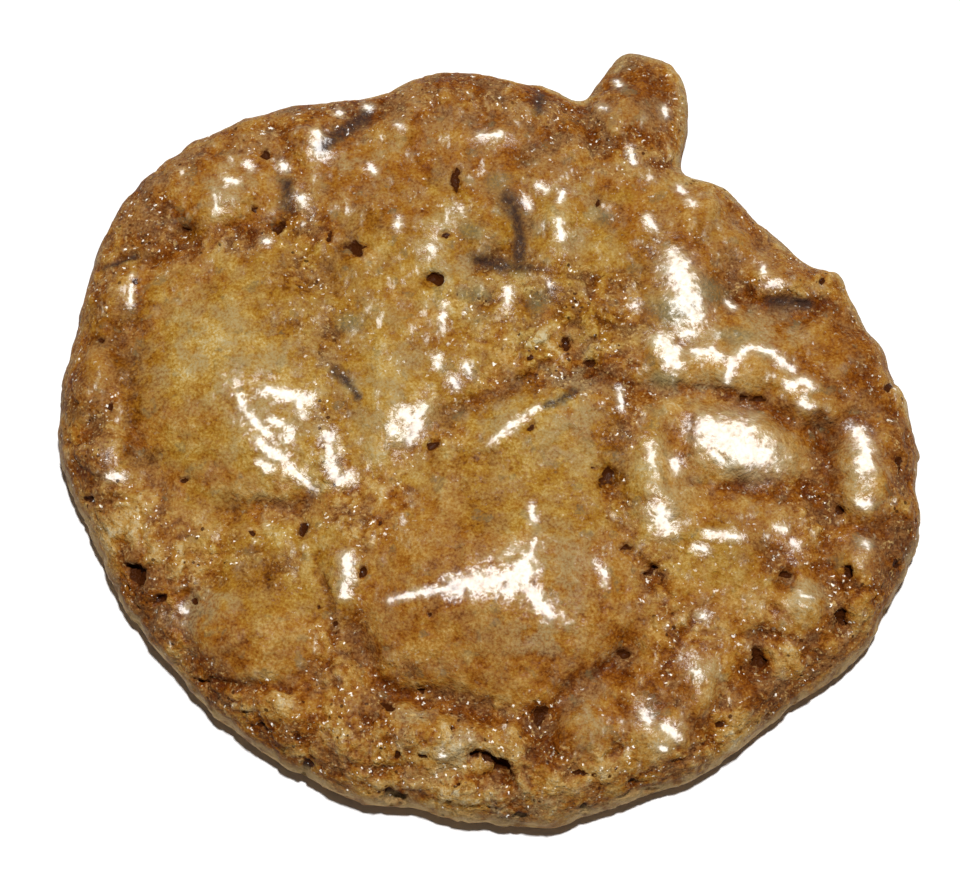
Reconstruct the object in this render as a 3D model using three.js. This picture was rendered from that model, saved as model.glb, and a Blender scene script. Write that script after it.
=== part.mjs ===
// A flat, golden-brown fudge cookie with a thin shiny sugar crust, baked as one piece: blisters and folds of crust
// on top, a craggy rim, a small flap that ran out at the back, and a flat underside.
// Millimetres, +Z up. The cookie lies on z = 0, and the origin is below the middle of its outline. The front is -Y.

import * as THREE from "three";

// Driving dimensions
const CROWN_HEIGHT = 8.2; // thickness in the middle, before the blisters
const SHOULDER_HEIGHT = 6.2; // thickness where the top turns down to the rim
const WIDEST_HEIGHT = 1.7; // height at which the rim stands out furthest
const RIM_ROLL = 5.2; // how far in from the edge the top turns over
const FOOT_ROLL = 1.8; // how far in from the edge the underside lifts off the table
const CROWN_REACH = 26; // how far in from the edge the crown has its full height
const THIN_EDGE_DROP = 1.9; // how much lower the smooth, thin edge at the back right is
const FLAP_HEIGHT = 3.5; // thickness at the flap's tip
const KNOB_LENGTH = 1.9; // spacing of the small knobs along the edge
const KNOB_HEIGHT = 0.32; // how far they stand out or in
const UNDERSIDE_DENT = 0.45; // depth of the bubbles in the underside

// Mesh resolution
const EDGE_POINTS = 222; // round the outline
const TOP_STEPS = [0, 0.45, 1.0, 1.7, 2.6]; // distances in from the edge, then steps of RING_STEP
const RING_STEP = 1.08;
const UNDER_STEPS = [0, 0.6, 1.3, 2.1, 5]; // the same below, then steps of UNDER_RING_STEP
const UNDER_RING_STEP = 5.2;
const UNDER_THINNING = 3; // the even rings below have this many times fewer points
const FEWEST_POINTS = 6; // in the innermost ring
const RING_REACH = 41; // distance in from the edge at which the rings have shrunk to a point
const INNER_RINGS = 2; // from this ring inwards, away from the flap, points may move to creases and holes
const SNAP = 0.42; // a point of the mesh as near as this to a crease's floor is moved onto it

// The outline seen from above, anticlockwise from the front. The flap's corners are among its points.
const OUTLINE = [
  [3.8, -41.3], [7.4, -40.8], [11.3, -39.4], [17, -37.4], [21.8, -35.5], [25.7, -32.4], [29.4, -29.5],
  [33.2, -27.3], [37, -23.4], [38.9, -20.5], [40.5, -18.1], [42.2, -13.9], [43, -11.5], [42.8, -8.2],
  [43, -4.4], [42.3, 1.8], [41.3, 4.2], [40.4, 6.9], [37.3, 12.4], [36, 15.9], [33, 16.6], [30.4, 19.5],
  [28.5, 21.5], [24.2, 25.7], [22.5, 26.1], [20.5, 26.8], [21.1, 32.8], [20.5, 38.9], [18.6, 40.5],
  [16.8, 41.4], [14.6, 41.5], [12.1, 38.3], [10, 35.3], [8.3, 36], [5.9, 37.3], [2.9, 37.8], [-0.3, 38.6],
  [-4.3, 38.6], [-7.4, 38.1], [-10.7, 36.3], [-18.7, 35], [-25.8, 33.2], [-29.5, 31.1], [-33.8, 28],
  [-38, 23], [-39.3, 19.5], [-40.7, 14.7], [-41.6, 8.6], [-43, 0.7], [-41.6, -6.8], [-38.9, -12.1],
  [-36.1, -18.3], [-32.6, -22.9], [-30.6, -25.5], [-25.6, -30.8], [-22.3, -33.4], [-17.3, -36.2],
  [-13.3, -38.5], [-8.2, -39.2], [-3.9, -40.1], [-0.8, -40.7],
];
const FLAP = { root: [15, 29], tip: [17.5, 40], middle: [16.5, 35], reach: 12 };
const THIN_EDGE = { at: [28.5, 20.5], long: 8.5, wide: 6, turn: -47 };

// Blisters and mounds of crust: middle, half length, half width, turn of the length from +X in degrees, and rise.
const BLISTERS = [
  { at: [-26.2, 1.7], long: 13.5, wide: 10.5, turn: 100, rise: 0.9 }, // the broad one at the left
  { at: [-21.8, -4.2], long: 6.5, wide: 5.5, turn: -25, rise: 0.6 },
  { at: [0.3, -19.4], long: 14.5, wide: 10.5, turn: 2, rise: 2.0 }, // the broad one at the front
  { at: [-22.3, -23.8], long: 7.5, wide: 6.3, turn: 0, rise: 1.5 },
  { at: [-9, -1.3], long: 6.2, wide: 4.6, turn: 45, rise: 0.7 },
  { at: [2.2, -4.2], long: 7, wide: 3.6, turn: 38, rise: 0.5 },
  { at: [-8.5, 17.4], long: 9, wide: 7, turn: 0, rise: 0.5 },
  { at: [19.7, 12], long: 6.6, wide: 3.4, turn: 102, rise: 1.2 },
  { at: [17.6, 4.8], long: 3.6, wide: 3, turn: 90, rise: 0.9 },
  { at: [22, 4.6], long: 3.4, wide: 2.2, turn: 10, rise: 0.8 },
  { at: [27.1, 2.6], long: 5, wide: 4.2, turn: 0, rise: 1.3 },
  { at: [31.5, 0.2], long: 3.6, wide: 3.4, turn: 90, rise: 1.0 },
  { at: [24.8, -4.2], long: 6.6, wide: 4.5, turn: -15, rise: 1.5 },
  { at: [16.5, -9.1], long: 6.4, wide: 3.3, turn: 95, rise: 1.3 },
  { at: [36.8, -7.1], long: 6.2, wide: 3.2, turn: 92, rise: 1.1 },
  { at: [22.8, -14.5], long: 4.6, wide: 2.6, turn: 12, rise: 0.8 },
  { at: [25, -18.4], long: 5.2, wide: 4, turn: -20, rise: 0.7 },
  { at: [-26.2, 22.3], long: 5.2, wide: 4.4, turn: 40, rise: 1.1 },
  { at: [-17.4, 28.1], long: 4, wide: 3.3, turn: 75, rise: 1.0 },
  { at: [-9, 29.6], long: 3.8, wide: 2.5, turn: 40, rise: 0.8 },
  { at: [0.8, 29.1], long: 4.6, wide: 2.6, turn: 0, rise: 0.8 },
  { at: [-3.6, 33.6], long: 7, wide: 3, turn: 0, rise: 0.5 },
  { at: [7.3, 18.8], long: 4.8, wide: 2.5, turn: 85, rise: 0.9 },
  { at: [0.6, 18.3], long: 5, wide: 3.6, turn: 90, rise: 0.6 },
  { at: [-15.7, -7.1], long: 3.6, wide: 1.9, turn: 105, rise: 0.9 },
  { at: [-13.4, -17.9], long: 3.6, wide: 2.3, turn: 90, rise: 0.9 },
  { at: [-37, -6.2], long: 5.5, wide: 3.5, turn: 100, rise: 0.8 },
  { at: [-38.4, 3.6], long: 4.5, wide: 3.5, turn: 90, rise: 0.8 },
  { at: [-36.6, 11.5], long: 4, wide: 3.2, turn: 75, rise: 0.8 },
  { at: [16, -33.6], long: 4.2, wide: 3.3, turn: -10, rise: 1.2 },
  { at: [8.9, -32.8], long: 3.2, wide: 3, turn: 0, rise: 1.3 },
  { at: [19.9, -29.7], long: 4.2, wide: 2.8, turn: 75, rise: 1.0 },
  { at: [29.7, -20.9], long: 4.5, wide: 3, turn: 60, rise: 1.0 },
  { at: [36, -15.8], long: 3.1, wide: 2.9, turn: 0, rise: 0.9 },
  { at: [36.2, -20.4], long: 3.2, wide: 2.8, turn: 50, rise: 0.9 },
  { at: [-20.3, -30.4], long: 6, wide: 2.6, turn: -8, rise: 0.8 },
  { at: [25, -30.4], long: 4.2, wide: 2.8, turn: 30, rise: 0.8 },
  { at: [-5.8, -33.6], long: 6, wide: 3, turn: 0, rise: 1.0 },
  { at: [1.5, -33.8], long: 4.2, wide: 2.6, turn: 0, rise: 0.9 },
  { at: [-13, -34.2], long: 4.4, wide: 2.6, turn: -15, rise: 0.7 },
  { at: [-13.6, -27.4], long: 3.6, wide: 3, turn: 0, rise: 0.6 },
  { at: [15.6, 34.6], long: 3.4, wide: 2.4, turn: 60, rise: 0.7 }, // on the flap
  { at: [28.3, 12.8], long: 3.4, wide: 2.4, turn: 0, rise: 0.9 },
  { at: [15.4, 27], long: 3, wide: 2, turn: 80, rise: 0.6 },
];

// Rounds where the crust has sunk: middle, half length, half width, turn and depth.
const DIMPLES = [
  { at: [27.2, 1.2], long: 2.6, wide: 2, turn: 0, depth: 1.1 },
  { at: [31.6, 0.4], long: 1.6, wide: 1.2, turn: 90, depth: 0.8 },
  { at: [19.9, 6], long: 1.8, wide: 1.3, turn: 20, depth: 0.7 },
  { at: [-13.2, 16], long: 2.2, wide: 1.7, turn: 0, depth: 0.7 },
  { at: [11.9, -8.1], long: 2.6, wide: 1.8, turn: 70, depth: 0.8 },
  { at: [-7.6, -10], long: 2.2, wide: 1.7, turn: 60, depth: 0.6 },
];

// Creases between the plates of crust, each along a path, as deep and half as wide as stated.
const CREASES = [
  {
    depth: 0.5, width: 1.5, // across the middle
    path: [[-10.5, -8.6], [-7.1, -6.7], [-3.6, -1.3], [-0.7, 0.7], [3.2, 2], [7.1, 3], [11.1, 2.5], [15, 1.2]],
  },
  {
    depth: 1.1, width: 1.2, // the tear from there to the right-hand rim
    path: [[15, 1.2], [18.9, 0.7], [22.8, 0.5], [26.7, -0.3], [29.7, -1.9], [33.6, -3.2]],
  },
  { depth: 0.6, width: 1.4, path: [[33.6, -3.2], [36.5, -1.9], [39.5, 0.2]] },
  {
    depth: 0.7, width: 1.3, // round the bright mound at the right
    path: [[18.9, -3.2], [19.4, -7.1], [21.8, -9.4], [27.7, -9.4], [31.6, -8.4], [32.8, -5.5], [34.1, -3.2]],
  },
  { depth: 0.9, width: 1.2, path: [[31.6, -9.4], [33.6, -11.6], [35.6, -12.9], [38.5, -12.9], [41.8, -12.6]] },
  {
    depth: 1.3, width: 1.1, // along the foot of the front blister
    path: [
      [-12.5, -22.8], [-11, -27.7], [-6.6, -29.7], [-1.7, -30.7], [3.2, -31.6], [5.2, -32.9], [7.1, -30.2],
      [10.1, -28.5], [14, -24.8],
    ],
  },
  { depth: 0.3, width: 1.4, path: [[14, -24.8], [15, -20.9], [14.3, -16], [12.5, -12], [11.8, -8.1]] },
  { depth: 1.4, width: 1.0, path: [[-25.2, -11.1], [-21.3, -11.5], [-18.3, -11.5], [-17.1, -10.1]] },
  {
    depth: 0.3, width: 1.5, // to the right of the left blister
    path: [[-15.4, 15.4], [-15.9, 9.5], [-14.9, 4.6], [-14.4, -1.3], [-13.1, -5.2], [-13.6, -10.5]],
  },
  {
    depth: 0.5, width: 1.3, // between the left blister and the rim
    path: [[-35, 12.5], [-36.3, 8], [-35.5, 0.7], [-34.6, -4.2], [-33, -7.1], [-29.1, -9.1], [-25.2, -11.1]],
  },
  {
    depth: 0.5, width: 1.6, // behind the left blister
    path: [
      [-38.4, 18.3], [-35, 18.8], [-33, 16.4], [-30.1, 16.9], [-27.2, 17.2], [-23.2, 18.4], [-20.3, 18],
      [-18.8, 14.4], [-15.4, 12.5],
    ],
  },
  { depth: 0.9, width: 0.9, path: [[-40.4, 13.2], [-38, 14.4], [-36, 15.2], [-33.5, 15.6]] },
  {
    depth: 0.8, width: 1.1, // in front of the left front blister
    path: [[-28.8, -19.5], [-29, -23.8], [-27.5, -27.6], [-24.2, -28.4], [-20.3, -28.5], [-15.4, -28]],
  },
  { depth: 0.6, width: 1.1, path: [[-38.5, -15.5], [-33, -17.6], [-29.1, -18.1], [-26.2, -17.9]] },
  { depth: 1.2, width: 1.0, path: [[27.7, -28.9], [31.6, -27.4], [35.6, -25.2]] },
  { depth: 0.9, width: 1.2, path: [[9.9, 33.4], [11.1, 29.1], [13, 27.9], [16, 29.1], [17.9, 29.3]] },
  { depth: 1.2, width: 1.5, path: [[25, 15], [25.3, 12], [27.7, 10.1], [31.6, 9.7], [36, 9.5]] },
  { depth: 1.0, width: 1.1, path: [[33.6, -12], [32.8, -16], [33.1, -22.8], [31.2, -25.4]] },
  { depth: 1.0, width: 1.1, path: [[20.9, -33], [22.8, -29.7], [25.4, -27.2], [26.7, -23.8]] },
  { depth: 1.0, width: 0.9, path: [[-10.5, -36.3], [-5.6, -36.5], [-1.7, -36.3], [2.2, -37]] },
  { depth: 0.8, width: 1.0, path: [[-11.6, 32.4], [-14, 29.8], [-16.8, 26.4]] },
  { depth: 0.7, width: 1.2, path: [[4, 22.4], [3.6, 17.8], [3.2, 14.6], [-0.8, 14.2]] },
];

// The largest holes where a bubble broke: middle and half width. They are all about as deep.
const HOLE_DEPTH = 1.5;
const HOLES = [
  [-30.4, 18.3, 1.0], [-5.3, 12.6, 1.1], [-34.1, -18.9, 1.4], [-31.6, -20.8, 1.1], [16, -18.1, 1.2],
  [28.9, -18.3, 1.0], [34.4, -18.1, 1.1], [33.8, -22.6, 1.1], [25.7, -26.6, 1.1], [1.6, -37, 1.2],
  [-9.3, -39, 1.2], [-17.8, -13.6, 1.0], [7.9, 5.6, 1.0], [10.3, 3.2, 1.0], [-39.1, -2.4, 1.0],
  [9.6, -37.9, 1.0], [39.8, -17.2, 1.1],
];

// Crags in the band along the rim, and swells all over, drawn by rule
const CRAG_COUNT = 190;
const CRAG_BAND = [0.8, 7.5]; // distance in from the edge
const CRAG_SIZE = [0.9, 2.2]; // half width
const CRAG_RISE = [0.25, 0.75];
const SWELLS = [
  { length: 6.5, height: 0.22 },
  { length: 3.1, height: 0.16 },
];
const SEED = 20;

const clamp = (t) => Math.min(1, Math.max(0, t));
const ease = (t) => clamp(t) ** 2 * (3 - 2 * clamp(t));
const mix = (a, b, t) => a + (b - a) * t;

// A repeatable draw of numbers from 0 to 1.
function seeded(seed) {
  let state = seed >>> 0;
  return () => {
    state = (state + 0x6d2b79f5) >>> 0;
    let t = Math.imul(state ^ (state >>> 15), 1 | state);
    t = (t + Math.imul(t ^ (t >>> 7), 61 | t)) ^ t;
    return ((t ^ (t >>> 14)) >>> 0) / 4294967296;
  };
}

// The place on the straight stretch from a to b that is nearest to x, y.
function nearestOn([ax, ay], [bx, by], x, y) {
  const share = clamp(((x - ax) * (bx - ax) + (y - ay) * (by - ay)) / ((bx - ax) ** 2 + (by - ay) ** 2));
  return [mix(ax, bx, share), mix(ay, by, share)];
}

// How far x, y is from the line through the points.
function distanceTo(points, x, y) {
  let least = Infinity;
  for (let i = 1; i < points.length; i++) {
    const [nx, ny] = nearestOn(points[i - 1], points[i], x, y);
    least = Math.min(least, Math.hypot(x - nx, y - ny));
  }
  return least;
}

// 0 at the middle of a turned oval and 1 on its edge.
function ovalReach({ at, long, wide, turn }, x, y) {
  const angle = THREE.MathUtils.degToRad(turn);
  const along = (x - at[0]) * Math.cos(angle) + (y - at[1]) * Math.sin(angle);
  const across = (y - at[1]) * Math.cos(angle) - (x - at[0]) * Math.sin(angle);
  return Math.hypot(along / long, across / wide);
}

// A crust blister is full near its middle and steep at its foot; a bell is rounder.
const blister = (reach) => (reach < 1 ? 1 - ease(reach * 1.05 - 0.05) : 0);
const bell = (reach) => (reach < 1 ? (1 - reach * reach) ** 2 : 0);

// A smooth surface through random heights on a square grid with that spacing.
function swell(length, draw) {
  const side = 64;
  const heights = Array.from({ length: side * side }, () => draw() * 2 - 1);
  const heightAt = (i, j) => heights[((i + side) % side) * side + ((j + side) % side)];
  return (x, y) => {
    const [u, v] = [x / length + side / 2, y / length + side / 2];
    const [i, j] = [Math.floor(u), Math.floor(v)];
    const [s, t] = [ease(u - i), ease(v - j)];
    const near = mix(heightAt(i, j), heightAt(i + 1, j), s);
    const far = mix(heightAt(i, j + 1), heightAt(i + 1, j + 1), s);
    return mix(near, far, t);
  };
}

// Crags scattered in the rim's band.
function crags(draw) {
  const found = [];
  while (found.length < CRAG_COUNT) {
    const [x, y] = [mix(-44, 44, draw()), mix(-44, 44, draw())];
    const turn = draw() * 180;
    const size = mix(...CRAG_SIZE, draw());
    const rise = mix(...CRAG_RISE, draw());
    const inside = insideEdge(x, y);
    const depth = distanceIn(x, y);
    if (inside && depth > CRAG_BAND[0] && depth < CRAG_BAND[1] && !nearFlap(x, y)) {
      found.push({ at: [x, y], long: size, wide: size * 0.7, turn, rise });
    }
  }
  return found;
}

const nearFlap = (x, y) => Math.hypot(x - FLAP.middle[0], y - FLAP.middle[1]) < FLAP.reach;

function insideEdge(x, y) {
  let inside = false;
  for (let i = 1; i < edgeLine.length; i++) {
    const [ax, ay] = edgeLine[i - 1];
    const [bx, by] = edgeLine[i];
    if (ay > y !== by > y && x < ((bx - ax) * (y - ay)) / (by - ay) + ax) inside = !inside;
  }
  return inside;
}

const draw = seeded(SEED);
const swells = SWELLS.map(({ length, height }) => ({ height, at: swell(length, draw) }));
const knobs = swell(KNOB_LENGTH, draw);
const outline = new THREE.CatmullRomCurve3(
  OUTLINE.map(([x, y]) => new THREE.Vector3(x, y, 0)),
  true,
  "centripetal",
);

// The point that lies at a share of the way round the edge, from 0 to 1.
function edgePoint(around) {
  const p = outline.getPointAt(around % 1);
  const radius = p.length();
  return p.multiplyScalar(1 + (KNOB_HEIGHT * knobs(p.x, p.y)) / radius);
}

const edgeLine = Array.from({ length: EDGE_POINTS * 2 + 1 }, (_, k) => {
  const p = edgePoint(k / (EDGE_POINTS * 2));
  return [p.x, p.y];
});
const distanceIn = (x, y) => distanceTo(edgeLine, x, y);
const rimCrags = crags(draw);

// The height of the cookie's body without its relief, and with the thin back edge and the flap.
function bodyHeight(x, y, inset) {
  const crown = mix(SHOULDER_HEIGHT, CROWN_HEIGHT, ease(inset / CROWN_REACH));
  const body = crown - THIN_EDGE_DROP * bell(ovalReach(THIN_EDGE, x, y));
  const [dx, dy] = [FLAP.tip[0] - FLAP.root[0], FLAP.tip[1] - FLAP.root[1]];
  const out = ((x - FLAP.root[0]) * dx + (y - FLAP.root[1]) * dy) / (dx * dx + dy * dy);
  return nearFlap(x, y) ? mix(body, FLAP_HEIGHT, ease(out)) : body;
}

// Everything that stands up from the body or is sunk into it.
function relief(x, y) {
  let height = 0;
  for (const b of BLISTERS) height += b.rise * blister(ovalReach(b, x, y));
  for (const d of DIMPLES) height -= d.depth * bell(ovalReach(d, x, y));
  for (const c of CREASES) height -= c.depth * Math.exp(-((distanceTo(c.path, x, y) / c.width) ** 2));
  for (const c of rimCrags) height += c.rise * bell(ovalReach(c, x, y));
  for (const s of swells) height += s.height * s.at(x, y);
  for (const [hx, hy, half] of HOLES) height -= HOLE_DEPTH * bell(Math.hypot(x - hx, y - hy) / half);
  return height;
}

// The rim turns over like a quarter of an oval, and the relief fades out down it.
function topHeight(x, y, inset) {
  const roll = Math.sqrt(1 - (1 - clamp(inset / RIM_ROLL)) ** 2);
  const relieved = bodyHeight(x, y, inset) + relief(x, y) * ease(inset / 1.6);
  return WIDEST_HEIGHT + (relieved - WIDEST_HEIGHT) * roll;
}

function undersideHeight(x, y, inset) {
  const lift = WIDEST_HEIGHT * (1 - clamp(inset / FOOT_ROLL)) ** 2;
  const dented = Math.max(0, swells[0].at(y * 0.6, x * 0.6) - 0.35) * UNDERSIDE_DENT;
  return lift + dented * ease((inset - FOOT_ROLL) / 4);
}

// The distances in from the edge at which rings of points run: the listed ones, then even steps to near the middle.
function ringSteps(first, step, reach) {
  const steps = [...first];
  while (steps.at(-1) + step * 1.4 < reach) steps.push(steps.at(-1) + step);
  return steps;
}

// Rings of points that shrink to the middle, each with about as many points per millimetre as the outline has, or
// that many times fewer after the first rings.
function rings(steps, dense, thinning) {
  return steps.map((step, k) => {
    const share = 1 - step / RING_REACH;
    const wanted = (EDGE_POINTS * share) / (k < dense ? 1 : thinning);
    const count = Math.max(FEWEST_POINTS, Math.round(wanted));
    return Array.from({ length: count }, (_, j) => {
      const around = (j + (k % 2) * 0.5) / count;
      const p = edgePoint(around).multiplyScalar(share);
      return { around, x: p.x, y: p.y };
    });
  });
}

// Moves the points closest to the floors of the creases onto them, so that each floor runs unbroken.
function snapToCreases(points) {
  for (const { path } of CREASES) {
    for (const p of points) {
      for (let i = 1; i < path.length; i++) {
        const [sx, sy] = nearestOn(path[i - 1], path[i], p.x, p.y);
        if (Math.hypot(p.x - sx, p.y - sy) < SNAP) [p.x, p.y] = [sx, sy];
      }
    }
  }
}

// Moves one point to the middle of each hole, and the others in it out to its edge.
function snapToHoles(points) {
  for (const [hx, hy, half] of HOLES) {
    const away = (p) => Math.hypot(p.x - hx, p.y - hy);
    const floor = points.reduce((best, p) => (away(p) < away(best) ? p : best));
    [floor.x, floor.y] = [hx, hy];
    for (const p of points) {
      const reach = away(p);
      if (p === floor || reach >= half) continue;
      p.x = hx + ((p.x - hx) * half) / reach;
      p.y = hy + ((p.y - hy) * half) / reach;
    }
  }
}

// Gives every ring its heights; the first ring is the edge itself.
function raise(levels, heightAt) {
  levels.forEach((level, k) => {
    for (const p of level) p.z = heightAt(p.x, p.y, k === 0 ? 0 : distanceIn(p.x, p.y));
  });
}

// Joins two rings of points by triangles, always stepping on the ring that is behind.
function bridge(outer, inner, addTriangle) {
  let [i, j] = [0, 0];
  while (i < outer.length || j < inner.length) {
    const nextOuter = i < outer.length ? outer[(i + 1) % outer.length].around + (i + 1 >= outer.length) : Infinity;
    const nextInner = j < inner.length ? inner[(j + 1) % inner.length].around + (j + 1 >= inner.length) : Infinity;
    const [a, b] = [outer[i % outer.length], inner[j % inner.length]];
    if (nextOuter <= nextInner) {
      addTriangle(a, outer[(i + 1) % outer.length], b);
      i++;
    } else {
      addTriangle(a, inner[(j + 1) % inner.length], b);
      j++;
    }
  }
}

// One closed surface: the top from the edge inwards, and the underside, which shares the edge.
function cookieGeometry() {
  const top = rings(ringSteps(TOP_STEPS, RING_STEP, RING_REACH), TOP_STEPS.length, 1);
  const under = rings(ringSteps(UNDER_STEPS, UNDER_RING_STEP, RING_REACH), UNDER_STEPS.length, UNDER_THINNING);
  const movable = top.slice(INNER_RINGS).flat().filter((p) => !nearFlap(p.x, p.y));
  snapToCreases(movable);
  snapToHoles(movable);
  raise(top, topHeight);
  raise(under, undersideHeight);
  under[0] = top[0];
  const [positions, indices, numbers] = [[], [], new Map()];
  const numberOf = (p) => {
    if (!numbers.has(p)) {
      numbers.set(p, numbers.size);
      positions.push(p.x, p.y, p.z);
    }
    return numbers.get(p);
  };
  const cover = (levels, heightAt, flip) => {
    const add = (a, b, c) => {
      const corners = [a, b, c].map(numberOf);
      indices.push(...(flip ? corners.reverse() : corners));
    };
    for (let k = 1; k < levels.length; k++) bridge(levels[k - 1], levels[k], add);
    const middle = { x: 0, y: 0, z: heightAt(0, 0, distanceIn(0, 0)) };
    const last = levels.at(-1);
    last.forEach((p, j) => add(p, last[(j + 1) % last.length], middle));
  };
  cover(top, topHeight, false);
  cover(under, undersideHeight, true);
  return new THREE.BufferGeometry()
    .setAttribute("position", new THREE.Float32BufferAttribute(positions, 3))
    .setIndex(indices);
}

const crustMaterial = new THREE.MeshStandardMaterial({ color: 0xa8732f, roughness: 0.3, metalness: 0 });
const geometry = cookieGeometry();
geometry.computeVertexNormals();
geometry.computeBoundingBox();
const middle = geometry.boundingBox.getCenter(new THREE.Vector3());

const cookie = new THREE.Mesh(geometry, crustMaterial);
cookie.name = "cookie";
cookie.position.set(-middle.x, -middle.y, -geometry.boundingBox.min.z);

const part = new THREE.Group();
part.add(cookie);

export default part;
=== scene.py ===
import math

import bpy
import numpy as np
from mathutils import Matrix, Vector
from mathutils.bvhtree import BVHTree


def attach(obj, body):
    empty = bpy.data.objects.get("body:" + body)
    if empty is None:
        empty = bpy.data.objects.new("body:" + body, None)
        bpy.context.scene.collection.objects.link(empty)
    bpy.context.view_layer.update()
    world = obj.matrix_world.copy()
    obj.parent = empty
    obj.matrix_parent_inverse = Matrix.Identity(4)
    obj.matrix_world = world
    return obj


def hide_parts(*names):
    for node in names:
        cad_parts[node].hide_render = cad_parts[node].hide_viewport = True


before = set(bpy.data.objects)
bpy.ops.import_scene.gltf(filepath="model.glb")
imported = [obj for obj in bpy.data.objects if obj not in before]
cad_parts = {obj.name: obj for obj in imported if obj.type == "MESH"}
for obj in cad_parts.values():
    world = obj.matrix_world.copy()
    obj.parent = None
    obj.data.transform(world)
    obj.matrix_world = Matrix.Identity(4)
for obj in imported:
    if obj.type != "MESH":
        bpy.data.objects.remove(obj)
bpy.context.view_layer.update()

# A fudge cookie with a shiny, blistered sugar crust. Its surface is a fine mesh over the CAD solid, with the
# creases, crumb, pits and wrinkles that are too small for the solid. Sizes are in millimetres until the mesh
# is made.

MM = 0.001

# The camera, which looks down on the cookie as in the photograph
CAMERA_ELEVATION = math.radians(70)
CAMERA_DISTANCE = 266.7
CAMERA_LENS = 100
SENSOR_WIDTH = 36
CLIP_START = 0.01  # metres
RIM_LEVEL = 1.7  # height of the widest line round the rim
VIEW_CENTRE = (-0.7, -1.75)  # the place at the rim's level that is in the middle of the photograph

# The floor and the lights, in metres and watts
FLOOR_REACH = 1.5
FLOOR_SHADE = 0.96
FLOOR_ROUGHNESS = 0.8
KEY_ELEVATION = math.radians(79)
KEY_AZIMUTH = math.radians(65)  # from +X towards +Y: the light stands high behind the cookie
KEY_DISTANCE = 0.9
KEY_SIZE = 0.09
KEY_POWER = 9.5
SKY_STRENGTH = 0.04

# The fine mesh
STEP = 0.28  # spacing of its points
RIM_ROLL = 5.2  # how far in from the edge the top turns over
FOOT_ROLL = 1.8  # how far in from the edge the underside lifts off the table
RIM_RISE = 4.6  # how high the top stands over the widest line where it turns over
SHOULDER = 5.5  # height at which the top turns down to the rim
UNDER_STEP = 1.0  # spacing of the points on the flat of the underside
SMOOTHING_ROUNDS = 12  # they round off the solid's facets
RIM_SEARCH = 60  # the widest line is looked for inwards from this far out
RIM_SEARCHES = 3600
ABOVE_ALL = 30  # a height above every point of the cookie
RIM_BAND = 0.4  # how near the rim's level the points of the rim lie
RIM_INNERMOST = 30  # they all lie farther from the middle
AT_ONCE = 40  # rim points whose distances are worked out together
# The pale lip is partly painted light on the near rim, which faces away from the lamp
LIP_FULL, LIP_END = 2.3, 3.7  # the height up to which the pale lip is full, and the height where it ends

# The relief of the torn crust: spacings and heights of its lumps, and depths of the clefts between them
LUMP, SMALL_LUMP, CRUMB_GRAIN = 2.9, 1.3, 0.75
LUMP_HEIGHT, SMALL_LUMP_HEIGHT, CRUMB_GRAIN_HEIGHT = 0.45, 0.34, 0.13
CRUMB_DROP = 0.3  # how far the crumb's lowest places lie under the whole crust
CLEFT_DEPTH, GAP_DEPTH = 0.18, 0.6

# The relief of the whole crust: spacings and heights of its folds, ripples and low bumps
FOLD, RIPPLE, BUMP = 2.3, 1.1, 2.4
FOLD_HEIGHT, RIPPLE_HEIGHT, BUMP_HEIGHT = 0.16, 0.07, 0.24
UNDER_RELIEF = 0.25  # share of the relief that the rounded foot has
BROWNED_RING = 1.3  # how far the crust is browner round a hole

# How much paler or darker the crust is in some places, on the scale of TONES
MIDDLE_TONE = 0.5
MOTTLES = ((3.4, 0.3), (1.7, 0.22), (0.8, 0.14))  # spacing and strength
MILKY_TONE, BROWNED_TONE, ORANGE_TONE = 0.1, 0.17, 0.12
# Painted shade: these darken the crumb's clefts, the small and broad hollows and the creases, and round holes
# the crust is browner
CLEFT_SHADE, HOLE_SHADE, NOOK_SHADE, HOLLOW_SHADE, CREASE_SHADE = 0.25, 0.12, 0.35, 0.15, 0.4
# The crust is darker near the rim, has painted light on the near side, which faces away from the lamp, and is
# paler on the far edge
RIM_SHADE, NEAR_SIDE_PAINTED_LIGHT, FAR_EDGE_LIGHT = 0.08, 0.1, 0.3

# Places on the crust are in millimetres on the rim's level, seen along the photograph's line of sight from
# its middle: x to the right and y away. Ovals are x, y, half length, half width where it differs, and the
# turn of the length in degrees where there is one. Paths are points in a row.

# Plates where the crust is whole and smooth; the large ones have a fine grain
LARGE_PLATES = [(2, -17, 14, 9.5), (3.5, -4, 11, 7, 15), (-26.5, 6, 13.5, 9.5, 90), (-22, -20, 7, 5.5)]
PLATES = LARGE_PLATES + [
    (-8.5, 7.5, 8.5, 6, 75), (-26.5, 27, 5.5, 4, 25), (-11, 28, 6, 5), (-1, 31, 7, 5), (-7, 20, 8, 5.5),
    (6, 25, 5, 6), (14, 24, 7, 6), (25, 23.5, 7, 3, -45), (20.5, 16, 6.5, 3.8, 100), (21, 9, 5, 3.5),
    (28.5, 7, 5, 4), (33, 4.5, 3, 3.2), (26, -0.5, 6.5, 4.4), (18, -5, 7, 3, 95), (38, -2.5, 7, 3.6, 90),
    (26, -9.5, 6, 2.8), (23.5, -15.5, 4.5, 3), (21.5, -24.5, 3.6, 2.6, 90), (31.5, -17.5, 3, 2.4, 90),
    (10.5, -29, 3.4, 3), (17.5, -30, 3.6, 2.8), (38, -12, 3.4, 3), (36, 10, 4), (30, 12, 4.5, 3),
    (-15, -14, 3, 4), (18.5, 37, 3, 4, 90), (-38.5, 8, 4, 2, 90),
]

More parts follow.
